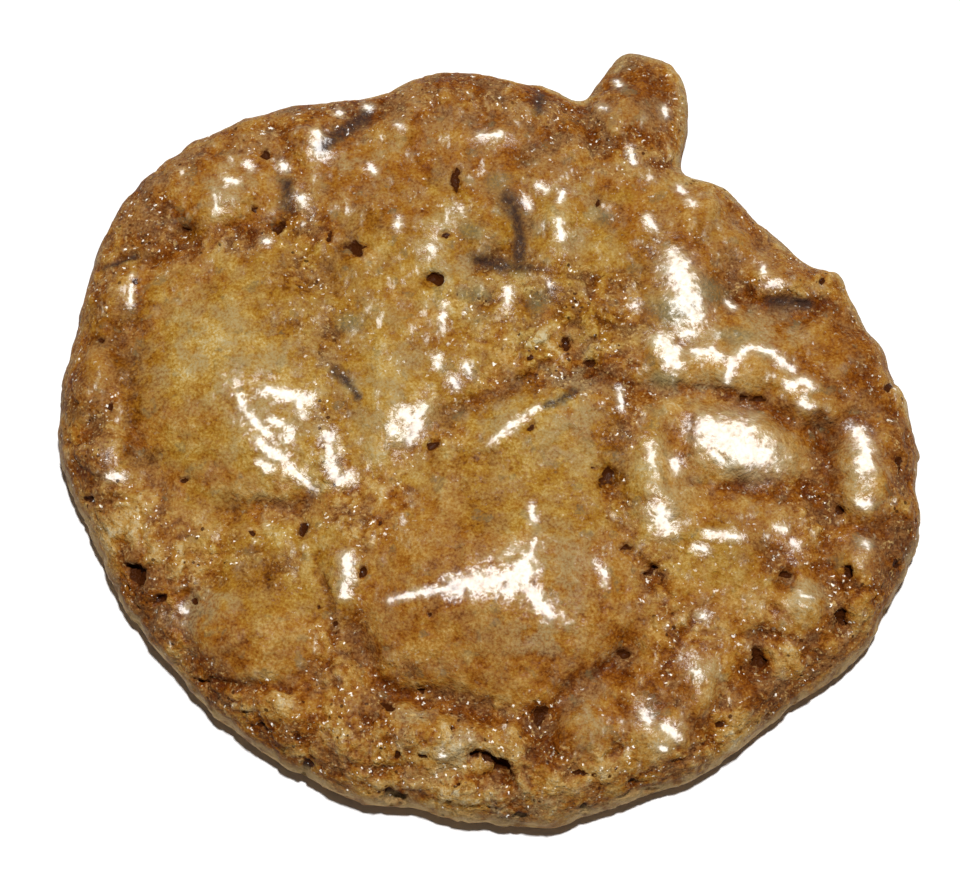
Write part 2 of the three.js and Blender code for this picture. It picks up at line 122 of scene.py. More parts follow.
# Where the crust is torn to rough crumb, besides the rim
CRUMBLY = [
    (-27, 21.6, 8, 1.7), (-18, 23, 3, 4), (10, 10, 7, 4.5, 10), (-15, 4, 2, 10), (-12.5, -9, 3, 6),
    (-29.5, -13.5, 5, 6), (-15, -20, 3.5, 7), (18, -16.5, 2.6, 9, 10), (31, 15, 6, 2.6),
    (-5, -3, 6, 2.2, 45), (14, -4, 2.2, 5), (0, -30.5, 16, 4), (14, 30, 4, 3), (16, 20, 3, 5),
    (-2, 18, 5, 4), (34, -8.5, 2.5, 5), (25, -27, 7, 3, 35), (-18, 15, 2, 6), (8, 17, 5, 3),
    (4, 33.5, 6, 2),
]

# Creases between the plates: half width, depth and path
CREASES = [
    (0.6, 0.3, (-11, -22), (-10, -25), (-8.5, -27), (-5, -26), (0, -27), (5, -28), (6.5, -28.5), (8, -26.4)),
    (0.8, 0.3, (8, -26), (11, -24.6), (14, -22), (15.5, -19)),
    (0.9, 0.35, (-10, -4), (-5, 2), (-2, 3.5), (4, 5.5), (12, 6)),
    (0.5, 0.4, (20, 5.2), (22.5, 5.2), (25, 4.8), (28, 3.5), (30, 2.4)),
    (0.8, 0.35, (12, 6), (16, 5.4), (20, 5.2)), (0.8, 0.3, (30, 2.4), (33, 1.4), (36, 1.2), (38, 2.5)),
    (0.6, 0.35, (21, -4.9), (25, -5.3), (30, -4.8)),
    (0.9, 0.4, (34.2, 2), (34.6, -4), (34.5, -8), (36.5, -8.5), (39, -9.3), (42, -8.8)),
    (0.8, 0.5, (27, 15.5), (31, 14.5), (35, 14.7)), (0.45, 0.6, (-22, -7), (-18, -7.5), (-16.7, -6.3)),
    (0.9, 0.25, (-35, 17), (-35, 13), (-37, 11), (-35, 5), (-34.8, -1), (-33, -3), (-32, -6), (-31.5, -10)),
    (1.0, 0.3, (-33, 24.5), (-30, 23), (-25, 23.3), (-20, 23.3), (-17.5, 20)),
    (0.45, 0.4, (-28.5, -16), (-28.5, -21), (-27.3, -25), (-24, -25.6), (-18, -25.9)),
    (0.4, 0.5, (-39, 18.3), (-37, 19.4), (-35.5, 19.8)),
    (0.4, 0.35, (-16.5, -12), (-14.6, -17), (-14, -21)),
    (0.5, 0.35, (19, -20), (24, -20.6), (29, -20.5), (33, -22)),
    (0.5, 0.45, (13.6, -26.6), (14.2, -30), (12.8, -32.4)), (0.4, 0.3, (-16, 34.5), (-12, 33), (-9, 32.8)),
    (0.6, 0.3, (11, 37), (13.5, 33), (15.5, 30.5), (20, 30)),
    (0.8, 0.3, (14, -24.9), (16, -26.4), (19.5, -28.6)), (0.5, 0.35, (19.7, -21.2), (23.8, -21)),
    (0.8, 0.2, (23.8, -21), (26, -17.5), (28.4, -13.1)),
    (0.6, 0.25, (28.2, -17.5), (32.7, -21), (35.2, -19.1)),
    (0.7, 0.2, (23.3, -24), (23, -27.4), (20.8, -29.3)), (0.5, 0.25, (28, -23.6), (28, -27.3)),
    (0.7, 0.25, (25.8, -5.3), (29.8, -6.1), (33.7, -7.4)),
    (0.6, 0.25, (13.8, -11.6), (17, -13.5), (17.7, -15.5)),
]

# Holes where bubbles broke, as ovals
DEEP_HOLES = [
    (-30.4, 22.8, 0.7), (-4.8, 17.2, 0.95, 0.6, 10), (17, -14, 1.1, 0.5, 70), (30.2, -14.5, 0.6),
    (36, -14.3, 1, 0.5, 90), (35.3, -18.8, 0.8, 0.6, 90), (27, -23, 1, 0.5, 90),
    (-33.7, -14.7, 1.5, 0.6, -55), (-31.5, -17, 0.9, 0.45, 25), (2.3, -33.5, 1.2, 0.6, 10),
    (0.9, -33, 1.2, 0.3, -20), (-0.5, -32.6, 0.4), (-8.2, -36.4, 1.1, 0.6, -10),
    (-11.5, -13.9, 0.6, 0.35, 90),
]
SHALLOW_HOLES = [
    (26.5, 4.3, 0.7, 0.3, 20), (28.3, 4, 0.9, 0.3, -8), (-23.3, 25.1, 0.4), (-35.2, 17.2, 0.35),
    (-20.6, 23.2, 0.6), (-22.2, 31.2, 0.5), (-15.5, 22.2, 0.8, 0.3, 90), (-12.8, 20.8, 1),
    (-3.5, 22.2, 0.7, 0.5), (-2.5, 28.4, 1.1, 0.5, 90), (5.1, 8.4, 0.5), (8.7, 10, 0.8, 0.4, 90),
    (11.3, 7.5, 0.7), (5.2, 1.1, 0.5), (12.3, 26.2, 0.9, 0.4, 90), (-15.2, 7.1, 0.5), (-4.7, -0.7, 0.5),
    (-9.9, -9, 0.4), (12.8, -4, 1.2), (14.3, -11.6, 0.6, 0.35), (23, -29.5, 0.5, 0.3), (14.2, -22.3, 0.5),
    (-17.4, -9.6, 0.6), (-22.5, -10, 0.4), (-37.1, 3.3, 0.7, 0.4, 90), (-40.6, 3.5, 0.5), (-39.2, 1.7, 0.5),
    (-38.6, 10.6, 0.5, 0.3), (-33.8, -2.4, 1.1, 0.5), (-29.4, -4.5, 0.45, 0.25), (-39.2, -6.6, 0.5),
    (-28, -17, 0.4), (-20.7, -14.7, 0.3), (-15.7, -17.7, 0.35), (-14.1, -19.3, 0.35), (-5, -18.5, 0.28),
    (-17.5, -30.8, 0.4), (-21.5, -29.5, 0.5), (-16.7, -33.7, 0.6), (-27.2, -25.2, 0.4), (-8.8, -27.5, 0.6),
    (-5.8, -26.1, 0.5, 0.3), (-2.8, -29.7, 0.25), (-5.3, -32.7, 0.8, 0.25), (-7.9, -32.3, 0.4),
    (-3.1, -37.1, 0.4, 0.25), (3.8, -38.5, 0.6, 0.3), (9.8, -37.7, 0.5), (10.3, -34.3, 1.2, 0.35, -10),
    (14.8, -35.1, 0.6, 0.3), (-2, -35.3, 0.3), (5.9, -28.6, 0.9), (41.2, 5.5, 0.5), (35, 17, 0.6),
    (41.8, -3.5, 1.2, 0.5, 90), (41.3, -13.2, 0.8, 0.5, 90), (35.5, -7.7, 0.4),
]
# For each kind its depth, how dark it is, and how much browner the crust is round it
HOLE_KINDS = [(DEEP_HOLES, 0.75, 1, 1), (SHALLOW_HOLES, 0.4, 0.8, 0.5)]

# Mirror-bright places of the crust: half width and path
GLARES = [
    (1.0, (-2.5, -15.6), (0.5, -15.1), (4.2, -14.6)), (0.55, (3.4, -14.2), (4.8, -12.6)),
    (0.3, (-8.8, -17), (-6, -16.2), (-2.5, -15.8)), (0.9, (2.6, -15.6), (4.6, -14)),
    (0.7, (4.6, -15.8), (6.8, -18.2)), (0.2, (4.9, -12.4), (5.4, -11)),
    (1.6, (20.2, 18.6), (20.9, 16.2), (21.4, 13.6)), (0.6, (19.8, 20), (20.2, 18.6)),
    (2.2, (24.6, -0.4), (27.8, -1.8)), (1.6, (22.6, 0.8), (26.4, 0.9)), (0.6, (22.6, -0.6), (24, -2.4)),
    (1.0, (17.8, -7.6), (18.2, -9.4)), (0.5, (19.4, -2.4), (19.6, -3.4)), (0.4, (17, -1.2), (17.2, -3)),
    (0.95, (38.2, 0), (38.4, -3.2)), (0.5, (37.4, 1), (38, 0.2)), (0.5, (37.6, -7), (38.6, -7)),
    (0.4, (24.9, 6), (25.6, 8.4), (27.4, 9.6), (29.4, 9.2), (31.6, 7.2)),
    (0.55, (31.4, 5.6), (32.4, 6), (33.2, 5.4)), (0.5, (32.4, 3.6), (33.2, 3.2)),
    (1.0, (18.4, 10.4), (19.6, 9.2)), (0.8, (19.2, 8.8), (19.6, 7.8)), (0.55, (21.8, 9), (23.6, 9.2)),
    (0.5, (23.6, 9.4), (24.2, 8.6)), (0.35, (20.4, 11), (21.6, 11.4)),
    (0.5, (-21.4, 5), (-19.4, 4.4), (-17.2, 4)), (0.4, (-18.2, 3.6), (-17.8, 2.4)),
    (0.35, (-22.6, 1.8), (-21.4, 0.4)), (0.45, (-22.2, -0.4), (-20.8, -1.8), (-19.6, -2.4)),
    (0.4, (-19, -3.2), (-16.4, -5.6)), (0.35, (-21.8, -2.6), (-21, -3.2)), (0.3, (-21, 1.8), (-19.8, 1.4)),
    (0.3, (-24.4, 4.6), (-23.6, 3), (-22.8, 1.8)), (0.25, (-19.4, -0.4), (-18.8, 0.8)),
    (0.65, (-15.2, 0.2), (-15, -2), (-14.4, -4.2)), (0.6, (-14.2, -4.6), (-13, -4.4)),
    (0.9, (-7.6, 2.4), (-6.4, 1.4), (-7.2, 0.2)), (0.5, (-5.8, 3.2), (-6.4, 2)),
    (0.45, (-8.6, 1.2), (-8.8, 0.4)), (0.6, (-13.2, -12.6), (-12.9, -14.6)),
    (0.4, (-13.4, -15.4), (-13.2, -16.4)), (0.3, (-4.3, 8.6), (-4.2, 7.6)),
    (0.35, (-1.4, 7.8), (-1.1, 6.8)), (0.35, (-2.8, 6.2), (-2.4, 5.4)), (0.22, (-3.6, 14.4), (-3.8, 12.2)),
    (0.4, (2.8, 16), (2.8, 14.8)), (0.3, (7, 16.9), (7.1, 16.4)), (0.35, (8.1, 23.8), (8.4, 21.8)),
    (0.3, (8.6, 27), (8.2, 26)), (0.3, (6.2, 27.6), (6.8, 27.2)), (0.3, (4.6, 26), (5.2, 25.1)),
    (0.4, (0, 33.7), (2, 33.6)), (0.28, (-2.2, 25.3), (-1.8, 24.8)), (0.28, (-8.4, 23.8), (-8.4, 23)),
    (0.28, (-5, 20.8), (-5, 20.2)), (0.75, (-17, 33.6), (-16.6, 31.4)), (0.3, (-27.4, 26.6), (-27.2, 24.8)),
    (0.4, (-26.1, 28.3), (-25.3, 28.1)), (0.35, (-24.2, 30.2), (-23.8, 29.8)),
    (0.35, (-20.6, 30.1), (-20.2, 29.7)), (0.4, (-18.5, 26.3), (-18.3, 25.5)),
    (0.35, (-22.2, 21.6), (-21.8, 21.4)), (0.35, (-8.7, 34.7), (-8.3, 34.5)),
    (0.35, (-11.4, 29.7), (-11, 29.3)), (0.35, (-12, 36.9), (-11.6, 36.7)),
    (0.35, (-15, 36.3), (-14.6, 36.1)), (0.35, (15.7, 31.8), (15.9, 30.4)), (0.45, (20.6, 27.4), (21, 27)),
    (0.4, (17.2, 24), (17.8, 23)), (0.4, (21.6, 26.2), (22, 25.8)), (0.35, (12.7, 36.8), (13.1, 36.6)),
    (0.35, (19.3, 36.7), (19.5, 35.9)), (0.35, (14.4, 39.8), (14.6, 39.4)),
    (0.35, (15.7, 14.4), (15.9, 14)), (0.35, (25.3, 14.6), (25.7, 14)), (0.5, (29.4, 16.4), (30.2, 16.6)),
    (0.35, (29, 18.5), (29, 17.9)), (0.25, (14.1, 5.2), (14.3, 3.2)), (0.22, (1, -0.6), (5.8, 3.2)),
    (0.3, (5.1, -7.4), (5.3, -8.8)), (0.22, (11.3, -13.2), (12.1, -14), (12.3, -15.4)),
    (0.35, (22.6, -10.2), (25.6, -10.5)), (0.35, (21.4, -11.6), (22.2, -11.8)),
    (0.35, (29.6, -9.6), (30.2, -9.6)), (0.4, (30.8, -11.2), (31.2, -11.4)),
    (0.35, (37.8, -11.2), (38.2, -11.4)), (0.25, (31.4, -16.5), (32.6, -16.7)),
    (0.3, (21.5, -18.5), (21.9, -18.7)), (0.3, (20.6, -24.2), (21, -24.4)),
    (0.5, (15.8, -28.4), (16.4, -29.2)), (0.55, (17.9, -29.8), (18.8, -30.6)),
    (0.4, (17.3, -31.7), (17.7, -31.9)), (0.35, (-37.1, -4.2), (-35.5, -4.2)),
    (0.18, (-35.6, 17.6), (-35.6, 14.4)), (0.3, (-29, -17.8), (-28.8, -18.2)),
    (0.3, (-3.9, -32.4), (-3.5, -32.4)),
]

# Wider places with a dim silvery sheen: half width and path
SHEENS = [
    (1.6, (-25, 5.4), (-22.4, 0.5), (-18.5, -3.5)), (1.3, (-22, 5.4), (-17.5, 4)),
    (2.0, (16.8, -1.4), (17.7, -5), (18, -8)), (1.2, (30.2, -9.8), (31.4, -12)),
    (1.2, (37, -11.2), (38, -13.2)), (1.3, (30, -18.3), (31.8, -16)), (1.4, (20.8, -22.8), (21.6, -26)),
    (1.1, (15.8, -28), (18.6, -31)), (1.0, (37.5, 0.5), (38.8, -7.4)), (1.2, (24, 1.2), (29.6, -2.6)),
    (1.5, (-8.4, -1), (-5.2, 3.6)), (1.3, (19, 21), (22, 12)), (1.2, (8.2, 27), (8.6, 20.6)),
    (1.0, (-5.4, 20.2), (-3.6, 23.6)), (1.0, (2.6, 17), (2.6, 13.8)), (0.9, (6.6, 17.6), (7.4, 15.6)),
    (1.1, (-26.6, 29), (-27, 24.4)), (1.0, (-17.2, 34), (-16, 30.6)), (0.9, (-19, 26.8), (-17.6, 24.8)),
    (1.1, (-0.4, 33.8), (2.8, 33.4)), (1.0, (-30.5, -18), (-28.4, -20)), (0.9, (-37.5, -1), (-36.2, -4.6)),
    (1.1, (29, 18.8), (30.4, 16.2)), (1.3, (1, -13), (5.5, -11)), (1.4, (4, -17), (8.5, -19)),
]

GLARE_EDGE = 0.6  # level of a bright place on its edge; it is 1 in the middle
SHEEN_LEVEL = 0.42  # level of a sheen in the middle

# Dark chocolate under the crust: half width and path
SMEARS = [
    (0.65, (-16.5, 32), (-14.2, 34), (-12, 35.8)), (0.7, (-20, 28), (-19.8, 25.4)),
    (0.7, (6.2, 37.6), (6.2, 36.4)), (0.8, (3, 26.2), (3.7, 24.4)),
    (0.6, (3.7, 24.4), (4.1, 21.8), (3.9, 18.8)), (0.75, (4.4, 18.3), (1.6, 19), (-0.3, 19.4)),
    (0.4, (6.6, 3.2), (9.4, 4.8)), (0.55, (-14.6, 7), (-13.2, 5.8)), (0.35, (-13.2, 5.8), (-12.2, 4.2)),
    (0.6, (29.5, 14.8), (33.5, 14.6)), (0.3, (-38.5, 18.4), (-35.5, 19.6)),
]

# Places that baked browner than the rest
BROWNED = [
    (-26, -23, 6, 5, -40), (9, -25.5, 4, 3), (2.5, 22, 3.5, 4), (16, -27, 3), (6, -32.5, 5, 3),
    (21.3, 0, 1, 4), (-3, -24.5, 6, 1.5), (8, -24, 3, 2), (5, -29.5, 4, 2), (-29, -24, 3),
    (-18, 35, 3, 2, 20), (-34, 25, 4, 3, 50), (31, 14.5, 7, 2.6), (39.5, 9, 3.5, 7), (41.5, -3, 2, 6),
    (40, -13, 3, 6), (34.3, -4, 1.8, 7), (31, 2.6, 5, 1.5, -10), (29.5, -12, 3, 2), (33.5, -21, 5, 3, 40),
    (26, -26, 6, 2.5, 35), (-1, -28.6, 10, 1.6), (7, -30.5, 3, 2), (14, -25.5, 2, 4), (20.5, -28.5, 2, 2.5),
    (-24, -29, 6, 2.5, -30), (-31.5, -18, 3, 5, 30), (-38.5, -2, 3, 7), (-37, 12, 3, 4),
    (-33, 27.5, 6, 2, 40), (-22, 33.5, 6, 1.5, 25), (-8, 36.5, 8, 2.5), (0, 38.5, 6, 2), (16.5, 39, 4, 5),
    (11, 34, 5, 3), (11, 7, 5, 1.2, 10), (13.5, 0, 1.4, 3), (-16, 20.5, 3, 2.5), (-10, -27, 3),
    (-14.5, -23, 2.5, 4), (17, -35.5, 4, 2, 25), (-14, -35, 6, 2, -15), (24, 20, 5, 2.5, -45),
    (-2.5, 1.5, 4, 1.2, 45), (20, -27, 2, 4), (-34, 22, 5),
]

# Places that are more orange than the rest
ORANGE = [
    (-33, 24, 5, 4), (-15, 31, 5, 4), (-26, -26, 5, 4, -40), (9, -30, 5, 7), (-39, 5, 3, 5),
    (36.5, 2, 3, 4), (-3, -18, 10, 8), (37, 8, 4, 7), (37, -13, 4, 5), (-29, -19, 5, 6, 40),
    (-19, -30, 6, 3, -30), (-33.5, 3, 2.5, 6), (-36.5, 7, 3), (-4, -20.5, 1.6, 3), (3.5, -22, 1.4, 3),
    (12.5, -21, 2, 3.5), (-9, -22, 2, 5), (-15, 10, 2.5, 4), (-6, 30, 9, 2), (16, 10, 3, 4), (5, 30, 6, 2),
    (-27, -14, 5, 2), (22, -18, 3, 1.5), (-20, 14, 3), (9, -28, 2), (31, 8, 4, 2.5), (-10, 24, 3, 2),
]

# Places with milky sugar
MILKY_PLACES = [
    (8, -13, 3.5, 4), (6, -19, 5, 4), (9, 3, 4, 6), (-3, -32, 4, 3), (3, -37, 5, 2), (-23, 8, 6, 3),
    (-22, 3, 5, 6), (-21, 5, 6, 9), (-27, 9, 6, 7), (-9, 5, 4.5, 9), (-3, 17.5, 4, 9), (9, 24, 4, 4.5),
    (21, 9, 4.5, 7), (6, 2, 7, 3, 10), (4.5, -12.5, 5, 3), (27, 11, 5, 4), (18, -6, 2.5, 5), (26, -2, 6, 3),
    (38, -4, 2, 4), (22, -25, 2.5), (32, -17, 2, 3), (-26.5, 27, 5, 3.5, 25), (-12, 31, 5, 3),
    (11.5, -28.5, 2.5), (-6, -29, 3.5, 2), (-27, -18, 4, 3),
]

# Where the crust is more golden than elsewhere
GOLDEN = [
    (-18, 8, 22, 15), (2, 18, 20, 10), (5, -3, 14, 9), (-20, -14, 8, 6), (22, -12, 7, 4),
]

# Greyish places where chocolate shows faintly
STAINS = [
    (1.8, 28.3, 1.6, 1.2), (-1.2, 22.5, 1.3, 1), (12.8, 24.2, 1.2, 1), (23.5, 16, 1.7, 1.3, 90),
    (-1, 15.5, 2.2, 0.9), (6, 14.5, 1.1, 1.6), (-13.2, 12.5, 1.5, 1.2), (20, 14, 1.5, 3.5, 100),
    (19, 6.2, 1.6, 1), (26, 11, 2, 1),
]


def smooth(low, high, value):
    """0 at low and 1 at high, with an even change between and none beyond."""
    share = np.clip((value - low) / (high - low), 0, 1)
    return share * share * (3 - 2 * share)


def swell(places, length, seed):
    """Smooth noise from -1 to 1 with that spacing, of that random seed."""
    table = np.random.default_rng(seed).uniform(-1, 1, (256, 256))
    grid = places / length + 128
    cell = np.floor(grid).astype(int)
    share = grid - cell
    share = share * share * (3 - 2 * share)
    i, j = cell[:, 0] % 255, cell[:, 1] % 255
    near = table[i, j] * (1 - share[:, 0]) + table[i + 1, j] * share[:, 0]
    far = table[i, j + 1] * (1 - share[:, 0]) + table[i + 1, j + 1] * share[:, 0]
    return near * (1 - share[:, 1]) + far * share[:, 1]


def oval_reach(places, x, y, long, wide=None, turn=0):
    """0 in the middle of a turned oval and 1 on its edge."""
    angle = math.radians(turn)
    dx, dy = places[:, 0] - x, places[:, 1] - y
    along = dx * math.cos(angle) + dy * math.sin(angle)
    across = dy * math.cos(angle) - dx * math.sin(angle)
    return np.hypot(along / long, across / (wide or long))


def distance_to(places, path):
    """How far each place is from the line through the path's points."""
    least = np.full(len(places), np.inf)
    for start, end in zip(path, path[1:]):
        start, step = np.array(start), np.subtract(end, start)
        share = np.clip((places - start) @ step / (step @ step), 0, 1)
        gap = places - start - share[:, None] * step
        least = np.minimum(least, np.hypot(gap[:, 0], gap[:, 1]))
    return least


# The fine mesh over the CAD solid

def outline(solid):
    """Points a step apart round the solid's widest line, by rays towards its middle."""
    turns = np.linspace(0, 2 * math.pi, RIM_SEARCHES, endpoint=False)
    line = []
    for turn in turns:
        out = Vector((math.cos(turn), math.sin(turn), 0))
        hit = solid.ray_cast(out * RIM_SEARCH + Vector((0, 0, RIM_LEVEL)), -out)[0]
        line.append((hit.x, hit.y))
    line = np.array(line + line[:1])
    gone = np.concatenate([[0], np.cumsum(np.hypot(*np.diff(line, axis=0).T))])
    at = np.linspace(0, gone[-1], int(gone[-1] / STEP), endpoint=False)
    return np.column_stack([np.interp(at, gone, line[:, k]) for k in (0, 1)])


def ring(edge, inset, count):
    """The edge drawn in towards the middle, with that many points."""
    reach = np.abs(edge[:, 1]).max()
    at = np.arange(count) * len(edge) / count
    turned = np.vstack([edge, edge[:1]])
    places = np.column_stack([np.interp(at, np.arange(len(turned)), turned[:, k]) for k in (0, 1)])
    return places * (1 - inset / reach)


def insets(roll, height, step, inner_step, reach):
    """How far in from the edge the rings run: even steps up the rounded rim, then even steps inwards."""
    turns = np.arange(0, math.pi / 2, step / ((roll + height) / 2))
    rim = roll * (1 - np.cos(turns))
    return np.concatenate([rim, np.arange(roll, reach - inner_step / 2, inner_step)])


def bridge(outer, inner):
    """Triangles between two rings of point numbers."""
    faces = []
    i = j = 0
    while i < len(outer) or j < len(inner):
        if j >= len(inner) or (i < len(outer) and (i + 1) * len(inner) <= (j + 1) * len(outer)):
            faces.append((outer[i % len(outer)], outer[(i + 1) % len(outer)], inner[j % len(inner)]))
            i += 1
        else:
            faces.append((outer[i % len(outer)], inner[(j + 1) % len(inner)], inner[j % len(inner)]))
            j += 1
    return faces


def cover(edge, steps, solid, side, first):
    """The points and triangles of the top (side 1) or the underside (side -1), inwards from the edge's own
    points. The points' numbers go on from first."""
    reach = np.abs(edge[:, 1]).max()
    points, faces = [], []
    outer = list(range(len(edge)))
    for inset in steps[1:]:
        count = max(6, round(len(edge) * (1 - inset / reach)))
        if side < 0:
            count = max(6, round(count * STEP / (STEP if inset < FOOT_ROLL else UNDER_STEP)))
        inner = list(range(first + len(points), first + len(points) + count))
        for x, y in ring(edge, inset, count):
            hit = solid.ray_cast(Vector((x, y, side * ABOVE_ALL)), Vector((0, 0, -side)))[0]
            points.append((x, y, hit.z if hit else RIM_LEVEL))
        faces += bridge(outer, inner)
        outer = inner
    middle = first + len(points)
    points.append((0, 0, solid.ray_cast(Vector((0, 0, side * ABOVE_ALL)), Vector((0, 0, -side)))[0].z))
    faces += [(a, b, middle) for a, b in zip(outer, outer[1:] + outer[:1])]
    return points, [face if side > 0 else face[::-1] for face in faces]


def evened(values, faces, rounds, share=0.6):
    """Each point's values drawn towards its neighbours' mean that many times."""
    pairs = np.vstack([faces[:, [0, 1]], faces[:, [1, 2]], faces[:, [2, 0]]])
    counts = np.bincount(pairs[:, 0], minlength=len(values))
    for _ in range(rounds):
        for k in range(values.shape[1]):
            total = np.bincount(pairs[:, 0], values[pairs[:, 1], k], minlength=len(values))
            values[:, k] += share * (total / counts - values[:, k])
    return values


def normals(points, faces):
    """Each point's normal."""
    a, b, c = (points[faces[:, k]] for k in range(3))
    across = np.cross(b - a, c - a)
    total = np.zeros_like(points)
    for k in range(3):
        for axis in range(3):
            total[:, axis] += np.bincount(faces[:, k], across[:, axis], minlength=len(points))
    return total / np.linalg.norm(total, axis=1, keepdims=True)


def fine_surface():
    """The points and triangles of the smoothed solid, and which points are on its top."""
    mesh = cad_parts["cookie"].data
    corners = [tuple(v.co / MM) for v in mesh.vertices]
    solid = BVHTree.FromPolygons(corners, [tuple(f.vertices) for f in mesh.polygons])
    edge = outline(solid)
    reach = np.abs(edge[:, 1]).max()
    points = [(x, y, RIM_LEVEL) for x, y in edge]
    top_steps = insets(RIM_ROLL, RIM_RISE, STEP, STEP, reach)
    more, faces = cover(edge, top_steps, solid, 1, len(points))
    points += more
    top_count = len(points)
    under_steps = insets(FOOT_ROLL, RIM_LEVEL, STEP, UNDER_STEP, reach)
    more, under_faces = cover(edge, under_steps, solid, -1, len(points))
    points += more
    points, faces = np.array(points), np.array(faces + under_faces)
    on_top = np.arange(len(points)) < top_count
    return evened(points, faces, SMOOTHING_ROUNDS), faces, on_top


def sighted(points):
    """Where each point is seen on the rim's level, from the photograph's middle."""
    rise = (points[:, 2] - RIM_LEVEL) / (CAMERA_DISTANCE * math.sin(CAMERA_ELEVATION))
    x = (points[:, 0] - VIEW_CENTRE[0]) / (1 - rise)
    y = (points[:, 1] - VIEW_CENTRE[1] + rise * CAMERA_DISTANCE * math.cos(CAMERA_ELEVATION)) / (1 - rise)
    return np.column_stack([x, y])


def hollows(points, faces, rounds):
    """How far each point lies below its neighbourhood."""
    return evened(points[:, 2:].copy(), faces, rounds, 1.0)[:, 0] - points[:, 2]


def sight_direction():
    """From the cookie towards the place from which the photograph was taken."""
    return Vector((0, -math.cos(CAMERA_ELEVATION), math.sin(CAMERA_ELEVATION)))


def key_direction():
    """From the cookie towards the light."""
    level = math.cos(KEY_ELEVATION)
    return Vector((level * math.cos(KEY_AZIMUTH), level * math.sin(KEY_AZIMUTH), math.sin(KEY_ELEVATION)))


def oval_mask(seen, ovals, full, none, ragged):
    """1 inside the ovals and 0 outside them, between two reaches, with a ragged edge."""
    reach = np.min([oval_reach(seen, *oval) for oval in ovals], axis=0)
    return 1 - smooth(full, none, reach + 1.4 * ragged)


def crumb_mask(seen, edge_gap, ragged):
    """Where the crust is torn to crumb: near the rim and in some places, and a little between the plates."""
    whole = oval_mask(seen, PLATES, 0.75, 1.35, ragged) * smooth(1.0, 4.0, edge_gap + 3 * ragged)
    by_rim = (1 - smooth(3.5, 8.0, edge_gap + 9 * ragged)) * (0.3 + 0.7 * smooth(8, -14, seen[:, 1]))
    torn = np.maximum(oval_mask(seen, CRUMBLY, 0.6, 1.3, ragged), by_rim)
    return (1 - whole) * (0.4 + 0.6 * torn)


def crease_cuts(seen, jitter):
    """How deep the creases cut, with torn sides."""
    cut = np.zeros(len(seen))
    strength = 0.65 + 0.5 * swell(seen, 2.6, 23)
    for width, depth, *path in CREASES:
        gap = np.abs(distance_to(seen, path) + 1.3 * jitter)
        cut = np.maximum(cut, depth * strength * np.exp(-((gap / width) ** 2)))
    return cut


def broken_bubbles(seen):
    """How deep the holes are, where they are dark, and where the crust is browner round them."""
    holes = np.zeros(len(seen))
    pits = np.zeros(len(seen))
    around = np.zeros(len(seen))
    torn_edge = 0.7 * swell(seen, 0.8, 24) + 0.35 * swell(seen, 0.4, 25)
    for ovals, depth, darkness, browning in HOLE_KINDS:
        for oval in ovals:
            reach = oval_reach(seen, *oval) + torn_edge
            inside = 1 - smooth(0.4, 1.3, reach)
            half_width = min(oval[2:4])
            holes = np.maximum(holes, depth * inside)
            pits = np.maximum(pits, darkness * inside)
            around = np.maximum(around, browning * (1 - smooth(0.8, 1 + BROWNED_RING / half_width, reach)))
    return holes, pits, around


def lumps(places, size, seed):
    """Lumps of about that size, side by side: how near each place is to its lump's middle (1) or its edge
    (0), how far it is from the cleft to the next lump, and a number of the lump's own."""
    table = np.random.default_rng(seed).uniform(0, 1, (64, 64, 3))
    grid = places / size + 32
    cell = np.floor(grid).astype(int)
    nearest = np.full(len(places), 9.0)
    second = np.full(len(places), 9.0)
    own = np.zeros(len(places))
    for i in (-1, 0, 1):
        for j in (-1, 0, 1):
            at = cell + (i, j)
            middle = table[at[:, 0] % 64, at[:, 1] % 64]
            gap = np.hypot(*(grid - at - middle[:, :2]).T)
            second = np.minimum(second, np.maximum(nearest, gap))
            own = np.where(gap < nearest, middle[:, 2], own)
            nearest = np.minimum(nearest, gap)
    return np.clip(1 - nearest, 0, 1), second - nearest, own


def crumb_relief(slid):
    """Low rounded lumps of two sizes with clefts between some of them: the height, and the cleft's depth."""
    warp = np.column_stack([swell(slid, 1.9, 36), swell(slid, 1.9, 37)])
    fine_warp = np.column_stack([swell(slid, 0.7, 38), swell(slid, 0.7, 39)])
    place = slid + 0.8 * warp + 0.2 * fine_warp
    large, large_gap, tall = lumps(place, LUMP, 31)
    small, small_gap, small_tall = lumps(place, SMALL_LUMP, 32)
    height = LUMP_HEIGHT * tall * np.sqrt(large) + SMALL_LUMP_HEIGHT * small_tall * np.sqrt(small)
    height = height + CRUMB_GRAIN_HEIGHT * swell(place, CRUMB_GRAIN, 33) - CRUMB_DROP
    clefts = np.maximum(1 - smooth(0.0, 0.3, large_gap), 0.8 * (1 - smooth(0.0, 0.3, small_gap)))
    clefts = clefts * smooth(-0.3, 0.5, swell(slid, 2.7, 43))
    parted = smooth(0.6, 0.95, 1 - large) * smooth(0.1, 0.6, swell(slid, 3.7, 40))
    return height - CLEFT_DEPTH * clefts - GAP_DEPTH * parted, np.maximum(clefts, 1.4 * parted)


